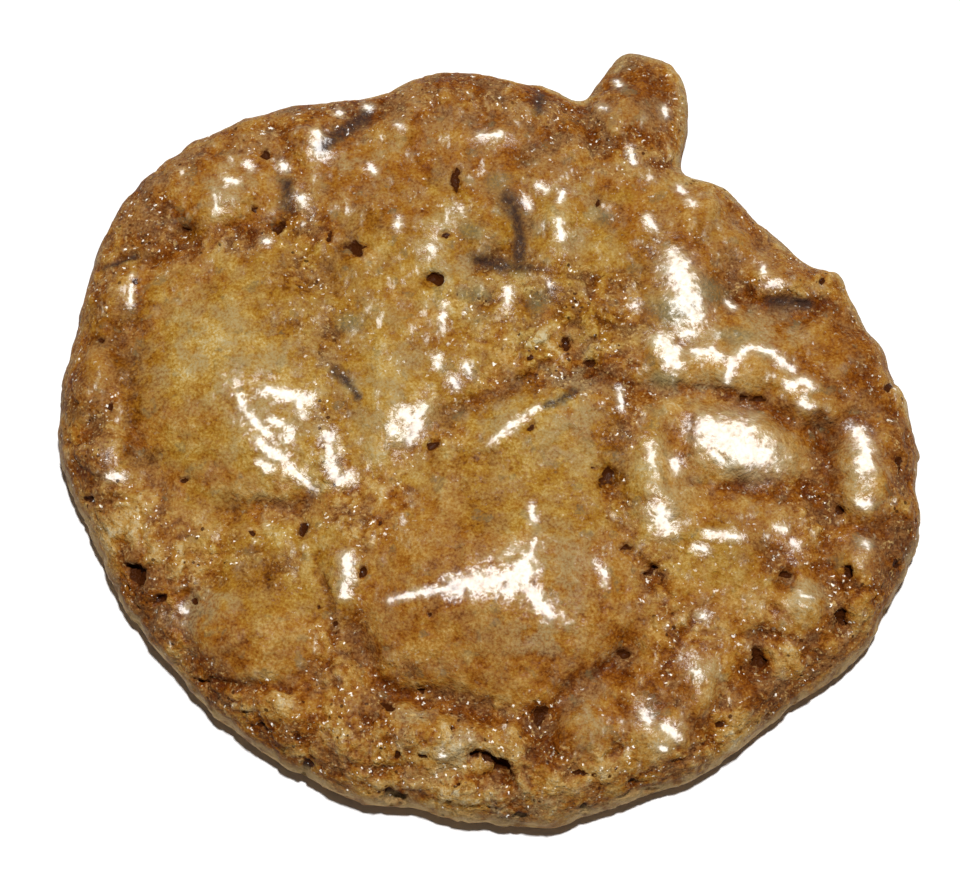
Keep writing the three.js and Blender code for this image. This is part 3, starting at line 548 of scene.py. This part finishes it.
def tones(seen, slid, crumb, painted_light_shade_and_browning, ragged):
    """How pale the crust is, from 0 for russet over 0.5 for ochre to 1 for cream, and how milky. It is
    mottled, browner in places, darker by painted shade in what lies deep, and paler by painted light on the
    near side."""
    mottled = sum(strength * swell(slid, spacing, 51 + k) for k, (spacing, strength) in enumerate(MOTTLES))
    milky = oval_mask(seen, MILKY_PLACES, 0.2, 1.5, ragged)
    browned = oval_mask(seen, BROWNED, 0.1, 1.7, 1.5 * ragged)
    orange = oval_mask(seen, ORANGE, 0.1, 1.6, 1.5 * ragged)
    tone = MIDDLE_TONE - 0.02 * crumb + mottled * (0.3 + 0.5 * crumb) - 0.06 * smooth(8, 32, seen[:, 1])
    tone = tone + MILKY_TONE * milky - BROWNED_TONE * browned - ORANGE_TONE * orange - painted_light_shade_and_browning
    return np.maximum(tone, 0.2 + 0.25 * (tone - 0.2)), np.maximum(milky, 0.3 * smooth(15, 30, seen[:, 1]))


def wrinkles(seen, ragged):
    """The low relief of whole crust: fine folds and ripples, and low bumps except on the large plates at the
    left and in front."""
    folds = 0.5 - np.abs(swell(seen + 0.8 * ragged[:, None], FOLD, 41))
    bumpy = smooth(-19, -10, seen[:, 0]) * smooth(-9, 0, seen[:, 1])
    bumpy = np.maximum(bumpy, smooth(13, 19, seen[:, 0]))
    bumps = bumpy * swell(seen, BUMP, 44)
    return FOLD_HEIGHT * folds + RIPPLE_HEIGHT * swell(seen, RIPPLE, 42) + BUMP_HEIGHT * bumps


def unrolled(seen, points):
    """The places slid outwards about as far as the rim has dropped, so that noise keeps its size there."""
    outwards = points[:, :2] / np.linalg.norm(points[:, :2], axis=1, keepdims=True).clip(1)
    return seen + outwards * np.maximum(0, SHOULDER - points[:, 2:]) * 0.9


def make_relief(points, faces, on_top):
    """Moves the points to make the fine relief, and returns them with the masks that the material uses."""
    seen = sighted(points)
    slid = unrolled(seen, points)
    facing = normals(points, faces)
    edge_gap = edge_distance(points)
    ragged = 0.16 * swell(slid, 2.2, 11) + 0.1 * swell(slid, 0.9, 12)
    jitter = 0.28 * swell(slid, 1.1, 21) + 0.16 * swell(slid, 0.45, 22)
    crumb = crumb_mask(seen, edge_gap, ragged)
    cut = crease_cuts(seen, jitter)
    holes, pits, around = broken_bubbles(seen)
    rough, cleft = crumb_relief(slid)
    rough = rough * (0.5 + 0.5 * smooth(0, 1.5, edge_gap))
    fine = crumb * rough + (1 - crumb) * wrinkles(slid, ragged)

    lift = np.where(on_top, fine - cut - holes, UNDER_RELIEF * fine) * smooth(0.1, 0.9, points[:, 2])
    moved = points + facing * lift[:, None]
    height = points[:, 2]
    nook = np.clip(3.5 * hollows(moved, faces, 5), -0.5, 0.5)
    hollow = np.clip(hollows(moved, faces, 90), -0.5, 0.5)
    by_rim = 1 - smooth(1.0, 8.0, edge_gap + 6 * ragged)
    # Painted light: the crust is made paler on the near side, which faces away from the lamp, most of all by
    # the rim
    painted_light_near_side = smooth(0.1, 0.65, -facing[:, 1]) * on_top * (0.3 + 0.7 * by_rim)
    # Painted shade darkens the crumb's clefts, the small and broad hollows and the creases, and the tops
    # between small hollows are paler; round holes the crust is browner, and near the rim darker
    painted_light_shade_and_browning = CLEFT_SHADE * crumb * cleft + HOLE_SHADE * around + NOOK_SHADE * nook + HOLLOW_SHADE * hollow
    painted_light_shade_and_browning = painted_light_shade_and_browning + CREASE_SHADE * np.clip(cut, 0, 0.4)
    far_right = smooth(-8, 6, points[:, 1]) * smooth(-32, -10, points[:, 0])
    pale_edge = (1 - smooth(0.2, 1.6, edge_gap + 2 * ragged)) * far_right
    painted_light_shade_and_browning = painted_light_shade_and_browning + RIM_SHADE * by_rim - NEAR_SIDE_PAINTED_LIGHT * painted_light_near_side - FAR_EDGE_LIGHT * pale_edge * on_top
    tone, milky = tones(seen, slid, crumb, painted_light_shade_and_browning, ragged)
    glares = bright_mask(seen, GLARES)
    sheens = bright_mask(seen + 1.2 * ragged[:, None], SHEENS)
    masks = {
        "crumb": crumb,
        "tone": tone,
        "milky": np.maximum(milky, pale_edge * on_top),
        "grainy": oval_mask(seen, LARGE_PLATES, 0.6, 1.2, ragged),
        "golden": oval_mask(seen, GOLDEN, 0.4, 1.4, 2 * ragged),
        "pit": pits,
        "glare": np.maximum(glares, SHEEN_LEVEL * sheens) * (on_top & (edge_gap > 0.6)),
        "top": smooth(1.2, 3.4, height) * on_top,
        # The pale lip of the near rim, partly painted light on that side, which faces away from the lamp
        "lip_and_painted_light": smooth(LIP_END, LIP_FULL, height + 2 * ragged) * smooth(8, -12, points[:, 1]),
        "smear": lines_mask(seen, SMEARS, jitter),
        "stain": oval_mask(seen, STAINS, 0.3, 1.5, ragged),
        "under": np.where(on_top, 0.0, 1.0) * smooth(-0.1, 1.0, RIM_LEVEL - height),
    }
    return moved, masks


def edge_distance(points):
    """About how far in from the edge each point is."""
    level = np.abs(points[:, 2] - RIM_LEVEL) < RIM_BAND
    rim = points[level & (np.hypot(points[:, 0], points[:, 1]) > RIM_INNERMOST)][:, :2]
    least = np.full(len(points), np.inf)
    for start in range(0, len(rim), AT_ONCE):
        away = points[:, None, :2] - rim[None, start:start + AT_ONCE]
        least = np.minimum(least, np.hypot(away[:, :, 0], away[:, :, 1]).min(axis=1))
    return least


def lines_mask(seen, lines, jitter):
    """1 along the lines and 0 away from them, with a ragged edge."""
    found = np.zeros(len(seen))
    for width, *path in lines:
        gap = distance_to(seen, path) + 0.8 * jitter
        found = np.maximum(found, 1 - smooth(0.2 * width, 1.9 * width, gap))
    return found


def bright_mask(seen, places):
    """1 in the middle of the places, GLARE_EDGE on their edge and 0 a little way outside it."""
    found = np.zeros(len(seen))
    for width, *path in places:
        gap = distance_to(seen, path)
        inside = GLARE_EDGE + (1 - GLARE_EDGE) * (1 - gap / width)
        outside = GLARE_EDGE * (1 - (gap - width) / (0.6 + 0.9 * width))
        found = np.maximum(found, np.where(gap < width, inside, outside))
    return np.clip(found, 0, 1)


def build_cookie():
    """The cookie's mesh with its masks and its material, in place of the CAD solid."""
    points, faces, on_top = fine_surface()
    points, masks = make_relief(points, faces, on_top)
    mesh = bpy.data.meshes.new("cookie_crust")
    mesh.from_pydata((points * MM).tolist(), [], faces.tolist())
    mesh.validate()
    mesh.shade_smooth()
    for name, values in masks.items():
        mesh.attributes.new(name, "FLOAT", "POINT").data.foreach_set("value", values.astype(np.float32))
    piece = bpy.data.objects.new("cookie_crust", mesh)
    bpy.context.scene.collection.objects.link(piece)
    piece.data.materials.append(crust_material())
    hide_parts("cookie")
    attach(piece, "root")
    return piece


# The crust's material

def linear(red, green, blue):
    """A colour stated as it shows on screen, from 0 to 255, as the linear values that a shader takes."""
    shares = [value / 255 for value in (red, green, blue)]
    return [s / 12.92 if s < 0.04045 else ((s + 0.055) / 1.055) ** 2.4 for s in shares] + [1]


# From dark to pale, with the tone at which each shows
TONES = [
    (0.0, linear(82, 36, 6)), (0.2, linear(113, 60, 9)), (0.36, linear(140, 85, 22)),
    (0.54, linear(157, 109, 38)), (0.74, linear(180, 141, 74)), (1.0, linear(203, 185, 145)),
]
# A painted sheen: the pale colour round the bright places and on the glaze's drops and streaks
PAINTED_SHEEN = linear(186, 171, 135)
# Painted glints: pale golden specks in place of the light that the crumb catches
PAINTED_GLINT = linear(222, 188, 122)
AMBER = linear(98, 48, 10)
MILK = linear(158, 137, 96)
GREYISH = linear(112, 104, 72)
PIT = linear(62, 28, 7)
CHOCOLATE = linear(58, 42, 36)
# The pale lip, partly painted light on the near rim
LIP_AND_PAINTED_LIGHT = linear(190, 158, 106)
BASE = linear(146, 102, 52)
BASE_BROWN = linear(108, 64, 26)
SYRUP = linear(255, 225, 170)

# How strongly each colour shows at most
MILK_STRENGTH, STAIN_STRENGTH, BLOTCH_STRENGTH, PAINTED_SHEEN_STRENGTH = 0.8, 0.8, 0.5, 0.62
DROP_PAINTED_SHEEN, STREAK_PAINTED_SHEEN = 0.5, 0.4
PAINTED_GLINT_STRENGTH, AMBER_STRENGTH, SMEAR_STRENGTH, LIP_AND_PAINTED_LIGHT_STRENGTH = 0.45, 0.65, 0.95, 0.9
BROWN_STRENGTH = 0.7

# Sizes of what the colour shows: blobs of noise, or the spacing of grains
MOTTLE, BLOTCH, MILK_PATCH, LIP_PATCH, BASE_BLOTCH = 1.1, 1.9, 2.6, 1.3, 2.2
PAINTED_GLINT_SPECK, AMBER_SPECK, SPECK_CLUSTER = 0.36, 0.5, 1.7
SMEAR_GRAIN, PIT_GRAIN = 0.5, 0.35
PINHOLE, PINHOLE_CLUSTER, PORE, PORE_CLUSTER = 1.0, 2.2, 1.4, 2.6

# The clear glaze: sizes of its drops, streaks and ragged edges, and how much of it lies in each place
DROP, DROP_CLUSTER = 0.42, 2.1
STREAK, STREAK_CLUSTER, STREAK_STRETCH = 1.4, 3.5, (0.8, 1.4, 1)
GLARE_GRAIN, RIPPLED = 0.9, 0.8
THIN_GLOSS, GLARE_GLOSS, DROP_GLOSS, STREAK_GLOSS = 0.03, 0.52, 0.55, 0.34
DROP_LEVEL, STREAK_LEVEL = 0.85, 0.85
COAT_ROUGHNESS, COAT_IOR = 0.3, 1.55

# The bare crust: its shine, and the sizes and heights of its bumps
CRUST_ROUGHNESS, CRUST_SPECULAR = 0.55, 0.05
ROUND_BUMP, ROUND_HEIGHT = 1.3, 0.3
BEAD, BEAD_HEIGHT = 0.5, 0.28
SUGAR_GRAIN, FINE_GRAIN, GRAIN_HEIGHT = 0.36, 0.26, 0.08

# The warp that makes grains uneven, in sizes of a grain: its own size and its reach
GRAIN_WARP_SIZE, GRAIN_WARP = 1.5, 0.7

# The Mix node's sockets for its two values and its result
MIX_SOCKETS = {"RGBA": (6, 7, 2), "VECTOR": (4, 5, 1)}


class Nodes:
    """Short calls that add nodes to one material."""

    def __init__(self, name):
        self.material = bpy.data.materials.new(name)
        self.material.use_nodes = True
        self.tree = self.material.node_tree
        self.shader = self.tree.nodes["Principled BSDF"]
        self.place = self.tree.nodes.new("ShaderNodeTexCoord").outputs["Object"]

    def join(self, value, socket):
        """Links the value to the socket, or sets it there where it is a plain one."""
        if isinstance(value, bpy.types.NodeSocket):
            self.tree.links.new(value, socket)
        else:
            socket.default_value = value

    def add(self, kind, output, inputs, **settings):
        """Adds a node with these inputs and settings, and returns the output."""
        node = self.tree.nodes.new("ShaderNode" + kind)
        for name, value in settings.items():
            setattr(node, name, value)
        for name, value in inputs.items():
            self.join(value, node.inputs[name])
        return node.outputs[output]

    def mask(self, name):
        """The mesh's mask of that name."""
        return self.add("Attribute", "Fac", {}, attribute_name=name)

    def noise(self, size, detail=3.0, rough=0.5, stretch=(1, 1, 1)):
        """Noise from 0 to 1 with blobs of about that size in millimetres, drawn out along each axis by its
        stretch."""
        place = self.place
        if stretch != (1, 1, 1):
            place = self.vector("DIVIDE", place, stretch)
        inputs = {"Scale": 1 / (size * MM), "Detail": detail, "Roughness": rough, "Vector": place}
        return self.add("TexNoise", "Fac", inputs)

    def random_vector(self, size):
        """A random vector, from 0 to 1 on each axis, that changes over about that size in millimetres."""
        inputs = {"Scale": 1 / (size * MM), "Detail": 2.0, "Vector": self.place}
        return self.add("TexNoise", "Color", inputs)

    def grains(self, size):
        """Rounded grains of about that size in millimetres: 1 in the middle of each, less at its edge."""
        warp = self.random_vector(size * GRAIN_WARP_SIZE)
        shift = self.vector("MULTIPLY", warp, (GRAIN_WARP * size * MM,) * 3)
        inputs = {"Scale": 1 / (size * MM), "Vector": self.vector("ADD", self.place, shift)}
        return self.math("SUBTRACT", 1.0, self.math("POWER", self.add("TexVoronoi", "Distance", inputs), 2.0))

    def math(self, operation, a, b=0.0):
        """The result of that operation on two numbers."""
        return self.add("Math", 0, {0: a, 1: b}, operation=operation)

    def product(self, *values):
        """All the values multiplied."""
        result = values[0]
        for value in values[1:]:
            result = self.math("MULTIPLY", result, value)
        return result

    def between(self, value, low, high, to_low=0.0, to_high=1.0):
        """value from low to high becomes to_low to to_high, with an even change and nothing beyond."""
        inputs = {"Value": value, "From Min": low, "From Max": high, "To Min": to_low, "To Max": to_high}
        return self.add("MapRange", "Result", inputs, interpolation_type="SMOOTHSTEP")

    def ramp(self, value, stops):
        """The colour that belongs to the value, from stops of a value and its colour."""
        node = self.tree.nodes.new("ShaderNodeValToRGB")
        self.join(value, node.inputs["Fac"])
        marks = node.color_ramp.elements
        for at, _ in stops[1:-1]:
            marks.new(at)
        for mark, (at, colour) in zip(marks, stops):
            mark.position = at
            mark.color = colour
        return node.outputs["Color"]

    def turned(self, colour, turn):
        """The colour with its hue turned, by a share of the full circle."""
        return self.add("HueSaturation", "Color", {"Hue": self.math("ADD", turn, 0.5), "Color": colour})

    def mix(self, share, a, b, kind="RGBA"):
        """The colour, or the VECTOR, a with that share of b."""
        first, second, result = MIX_SOCKETS[kind]
        return self.add("Mix", result, {"Factor": share, first: a, second: b}, data_type=kind)

    def vector(self, operation, a, b=(0, 0, 0)):
        """The result of that operation on two vectors."""
        return self.add("VectorMath", 0, {0: a, 1: b}, operation=operation)

    def random_lean(self, size, share):
        """A random vector of that strength that changes over about that size in millimetres."""
        lean = self.vector("SUBTRACT", self.random_vector(size), (0.5, 0.5, 0.5))
        return self.add("VectorMath", 0, {0: lean, "Scale": share}, operation="SCALE")

    def bump(self, height, distance, normal=None):
        """The normal tilted by a relief, whose height from 0 to 1 spans that distance in millimetres."""
        inputs = {"Distance": distance * MM, "Height": height}
        if normal is not None:
            inputs["Normal"] = normal
        return self.add("Bump", "Normal", inputs)


def crust_colour(n, grains, drops, streaks):
    """The tones of the crust with all that lies in and on it, the pale lip of the near rim, which is partly
    painted light, and the base.
    """
    crumb = n.mask("crumb")
    mottles = n.math("SUBTRACT", n.noise(MOTTLE, 5, 0.6), 0.5)
    mottles = n.product(mottles, n.between(crumb, 0, 1, 0.65, 0.78))
    colour = tone_colour(n, crumb, mottles, grains)
    colour = patches_specks_and_painted_sheen(n, colour, mottles, grains, drops, streaks)
    torn_smear = n.between(n.noise(SMEAR_GRAIN, 4, 0.7), 0.36, 0.56, 0.65, 1)
    colour = n.mix(n.product(n.mask("smear"), torn_smear, SMEAR_STRENGTH), colour, CHOCOLATE)
    ragged_pit = n.product(n.math("SUBTRACT", n.noise(PIT_GRAIN, 2), 0.5), 0.5)
    colour = n.mix(n.between(n.math("ADD", n.mask("pit"), ragged_pit), 0.4, 0.62), colour, PIT)
    pinholes = n.between(n.grains(PINHOLE), 0.955, 0.975)
    pinholes = n.product(pinholes, n.between(n.noise(PINHOLE_CLUSTER, 2), 0.48, 0.56))
    colour = n.mix(n.product(pinholes, n.between(crumb, 0.2, 0.7, 0.1, 0.85)), colour, PIT)
    # The pale lip, partly painted light on the near side, which faces away from the lamp
    lip_and_painted_light = n.product(n.mask("lip_and_painted_light"), n.between(n.noise(LIP_PATCH, 3), 0.35, 0.55, 0.3, LIP_AND_PAINTED_LIGHT_STRENGTH))
    return n.mix(n.mask("under"), n.mix(lip_and_painted_light, colour, LIP_AND_PAINTED_LIGHT), base_colour(n))


def tone_colour(n, crumb, mottles, grains):
    """Russet to cream by the tone, mottled and grainy, with greyish blotches."""
    grainy = n.product(n.math("SUBTRACT", grains, 0.5), n.between(n.mask("grainy"), 0, 1, 0.65, 0.8))
    tone = n.math("ADD", n.math("ADD", n.mask("tone"), mottles), grainy)
    colour = n.turned(n.ramp(tone, TONES), n.between(n.mask("golden"), 0, 1, -0.002, 0.008))
    blotches = n.between(n.noise(BLOTCH, 3), 0.6, 0.68, 0, BLOTCH_STRENGTH)
    blotches = n.product(blotches, n.between(crumb, 0.2, 0.8, 1, 0.2))
    return n.mix(n.product(blotches, n.between(grains, 0.3, 0.6, 1, 0.5)), colour, GREYISH)


def patches_specks_and_painted_sheen(n, colour, mottles, grains, drops, streaks):
    """The colour with milky patches and greyish stains, a painted sheen where the glaze lies and round the
    bright places, painted glints, and specks of amber.
    """
    patches = n.between(n.noise(MILK_PATCH, 4, 0.6), 0.42, 0.6)
    milk = n.product(patches, n.between(n.mask("milky"), 0, 1, 0.25, MILK_STRENGTH))
    colour = n.mix(n.product(milk, n.between(grains, 0.3, 0.6, 0.35, 0.9)), colour, MILK)
    stain = n.product(n.mask("stain"), n.between(grains, 0.3, 0.6, STAIN_STRENGTH, 0.45))
    colour = n.mix(stain, colour, GREYISH)
    # Painted sheen round the bright places, and on the drops and streaks of glaze
    painted_halo = n.between(n.mask("glare"), 0.15, 0.8, 0, PAINTED_SHEEN_STRENGTH)
    painted_halo = n.product(painted_halo, n.between(mottles, -0.08, 0.08, 0.3, 1))
    painted_glaze_sheen = n.math("MAXIMUM", n.product(drops, DROP_PAINTED_SHEEN), n.product(streaks, STREAK_PAINTED_SHEEN))
    colour = n.mix(n.math("MAXIMUM", painted_halo, painted_glaze_sheen), colour, PAINTED_SHEEN)
    # Painted glints, scattered over the crumb
    colour = n.mix(specks(n, n.noise(PAINTED_GLINT_SPECK, 2), 0.57, 0.7, PAINTED_GLINT_STRENGTH), colour, PAINTED_GLINT)
    return n.mix(specks(n, n.noise(AMBER_SPECK, 3, 0.6), 0.42, 0.3, AMBER_STRENGTH), colour, AMBER)


def base_colour(n):
    """The underside: browner in blotches, with dark pores."""
    browner = n.between(n.noise(BASE_BLOTCH, 4, 0.6), 0.42, 0.62, 0, BROWN_STRENGTH)
    pores = n.product(n.between(n.grains(PORE), 0.93, 0.97), n.between(n.noise(PORE_CLUSTER, 2), 0.45, 0.55))
    return n.mix(pores, n.mix(browner, BASE, BASE_BROWN), PIT)


def specks(n, noise, none, full, strength):
    """Scattered specks where the noise goes from none to full, in clusters, and most of them on the crumb."""
    clusters = n.between(n.noise(SPECK_CLUSTER, 3), 0.4, 0.55, 0.2, 1)
    there = n.product(n.between(n.mask("crumb"), 0, 0.6, 0.2, 1), n.mask("top"))
    return n.product(n.between(noise, none, full, 0, strength), clusters, there)


def wet_drops(n):
    """1 in each scattered drop of melted sugar that glints in the light, with fewest on the large plates."""
    drops = n.between(n.noise(DROP, 2, 0.5), 0.59, 0.71)
    clusters = n.between(n.noise(DROP_CLUSTER, 3, 0.6), 0.42, 0.54)
    on_crumb = n.between(n.mask("crumb"), 0.0, 0.5, 0.3, 1)
    there = n.math("MAXIMUM", on_crumb, n.between(n.mask("grainy"), 0, 1, 0.7, 0))
    return n.product(drops, clusters, there, n.mask("top"))


def thin_glaze(n):
    """1 in the middle of each small silvery streak of glaze. They lie all over the crust, but not in its dark
    places, and hardly on the large plates."""
    streaks = n.between(n.noise(STREAK, 5, 0.62, STREAK_STRETCH), 0.49, 0.7)
    clusters = n.between(n.noise(STREAK_CLUSTER, 3, 0.6), 0.4, 0.6, 0.2, 1)
    off_plates = n.between(n.mask("grainy"), 0, 1, 1, 0.15)
    return n.product(streaks, clusters, off_plates, n.between(n.mask("tone"), 0.2, 0.4), n.mask("top"))


def crust_gloss(n, drops, streaks):
    """How much clear glaze lies on the crust: most in the bright places and drops, and none down the rim."""
    gloss = n.between(n.mask("glare"), 0.1, 0.5, THIN_GLOSS, GLARE_GLOSS)
    gloss = n.math("MAXIMUM", n.product(gloss, n.mask("top")), n.product(drops, DROP_GLOSS))
    return n.math("MAXIMUM", gloss, n.product(streaks, STREAK_GLOSS))


def glaze_normal(n, rounded, drops, streaks):
    """The glaze lies level enough to mirror the light in the bright places, drops and streaks. It leans at
    random everywhere: least in the middle of those places, and most round them, where it only glitters."""
    glare = n.mask("glare")
    ragged = n.product(n.math("SUBTRACT", n.noise(GLARE_GRAIN, 4, 0.6), 0.5), 0.9)
    level = n.math("ADD", glare, n.product(n.between(glare, 0, 0.25), ragged))
    level = n.math("MAXIMUM", level, n.product(drops, DROP_LEVEL))
    level = n.math("MAXIMUM", level, n.product(streaks, STREAK_LEVEL))
    lean = n.between(level, -0.05, 1.0)
    shake = n.product(n.between(glare, 0, 0.3, 0.3, 0.6), n.between(level, 0.5, 0.85, 1, 0.35))
    shake = n.math("MAXIMUM", shake, n.between(glare, 0, 0.2, 0.22, 0))
    normal = n.mix(lean, rounded, mirror_tilt(n), "VECTOR")
    return n.vector("NORMALIZE", n.vector("ADD", normal, n.random_lean(RIPPLED, shake)))


def mirror_tilt(n):
    """The direction in which the glaze of each place faces where it mirrors the light as in the photograph.
    It turns back towards the middle with the distance from there."""
    halfway = (sight_direction() + key_direction()).normalized()
    turning = 0.5 * (1 / CAMERA_DISTANCE + MM / KEY_DISTANCE) / MM
    offset = n.vector("SUBTRACT", n.place, Vector((*VIEW_CENTRE, RIM_LEVEL)) * MM)
    return n.vector("ADD", n.vector("MULTIPLY", offset, (-turning, -turning, 0)), halfway)


def crust_bumps(n, grains):
    """The normals with the rounded bumps and the beads of the crumb, and with the fine grains as well."""
    on_top = n.mask("top")
    rounded = n.bump(n.product(n.noise(ROUND_BUMP, 2, 0.5), on_top), ROUND_HEIGHT)
    beady = n.math("MAXIMUM", n.mask("crumb"), n.between(n.mask("grainy"), 0, 1, 0.5, 0))
    beaded = n.bump(n.product(n.noise(BEAD, 2.5, 0.6), beady, on_top), BEAD_HEIGHT, rounded)
    return beaded, n.bump(n.product(grains, on_top), GRAIN_HEIGHT, beaded)


def crust_material():
    """The sugar crust, all over the cookie."""
    n = Nodes("sugar_crust")
    sugar = n.product(n.grains(SUGAR_GRAIN), 0.25)
    grains = n.math("ADD", sugar, n.product(n.noise(FINE_GRAIN, 1.5, 0.6), 0.9))
    grains = n.math("SUBTRACT", grains, 0.15)
    drops = wet_drops(n)
    streaks = thin_glaze(n)
    beaded, grained = crust_bumps(n, grains)
    inputs = {
        "Base Color": crust_colour(n, grains, drops, streaks),
        "Roughness": CRUST_ROUGHNESS,
        "Specular IOR Level": CRUST_SPECULAR,
        "Specular Tint": SYRUP,
        "Normal": grained,
        "Coat Weight": crust_gloss(n, drops, streaks),
        "Coat Roughness": COAT_ROUGHNESS,
        "Coat IOR": COAT_IOR,
        "Coat Normal": glaze_normal(n, beaded, drops, streaks),
    }
    for name, value in inputs.items():
        n.join(value, n.shader.inputs[name])
    return n.material


# The floor, the lights and the camera

def build_floor():
    """The plain pale floor."""
    mesh = bpy.data.meshes.new("floor")
    corners = [(x * FLOOR_REACH, y * FLOOR_REACH, 0) for x, y in ((-1, -1), (1, -1), (1, 1), (-1, 1))]
    mesh.from_pydata(corners, [], [(0, 1, 2, 3)])
    floor = bpy.data.objects.new("floor", mesh)
    bpy.context.scene.collection.objects.link(floor)
    material = bpy.data.materials.new("floor")
    material.use_nodes = True
    shader = material.node_tree.nodes["Principled BSDF"]
    shader.inputs["Base Color"].default_value = (FLOOR_SHADE, FLOOR_SHADE, FLOOR_SHADE, 1)
    shader.inputs["Roughness"].default_value = FLOOR_ROUGHNESS
    mesh.materials.append(material)


def build_lights():
    """One soft lamp high behind the cookie, and a weak even light from everywhere."""
    lamp = bpy.data.lights.new("key", "AREA")
    lamp.shape = "DISK"
    lamp.size = KEY_SIZE
    lamp.energy = KEY_POWER
    key = bpy.data.objects.new("key", lamp)
    key.location = key_direction() * KEY_DISTANCE
    key.rotation_mode = "QUATERNION"
    key.rotation_quaternion = key_direction().to_track_quat("Z", "Y")
    bpy.context.scene.collection.objects.link(key)
    world = bpy.data.worlds.new("studio")
    world.use_nodes = True
    background = world.node_tree.nodes["Background"]
    background.inputs["Color"].default_value = (1, 1, 1, 1)
    background.inputs["Strength"].default_value = SKY_STRENGTH
    bpy.context.scene.world = world


def build_camera():
    """The camera, at the photograph's angle."""
    camera = bpy.data.objects.new("camera", bpy.data.cameras.new("camera"))
    camera.data.lens = CAMERA_LENS
    camera.data.sensor_width = SENSOR_WIDTH
    camera.data.clip_start = CLIP_START
    camera.location = (Vector((*VIEW_CENTRE, RIM_LEVEL)) + sight_direction() * CAMERA_DISTANCE) * MM
    camera.rotation_mode = "QUATERNION"
    camera.rotation_quaternion = sight_direction().to_track_quat("Z", "Y")
    bpy.context.scene.collection.objects.link(camera)
    bpy.context.scene.camera = camera


build_camera()
build_cookie()
build_floor()
build_lights()
bpy.context.scene.view_settings.view_transform = "Standard"
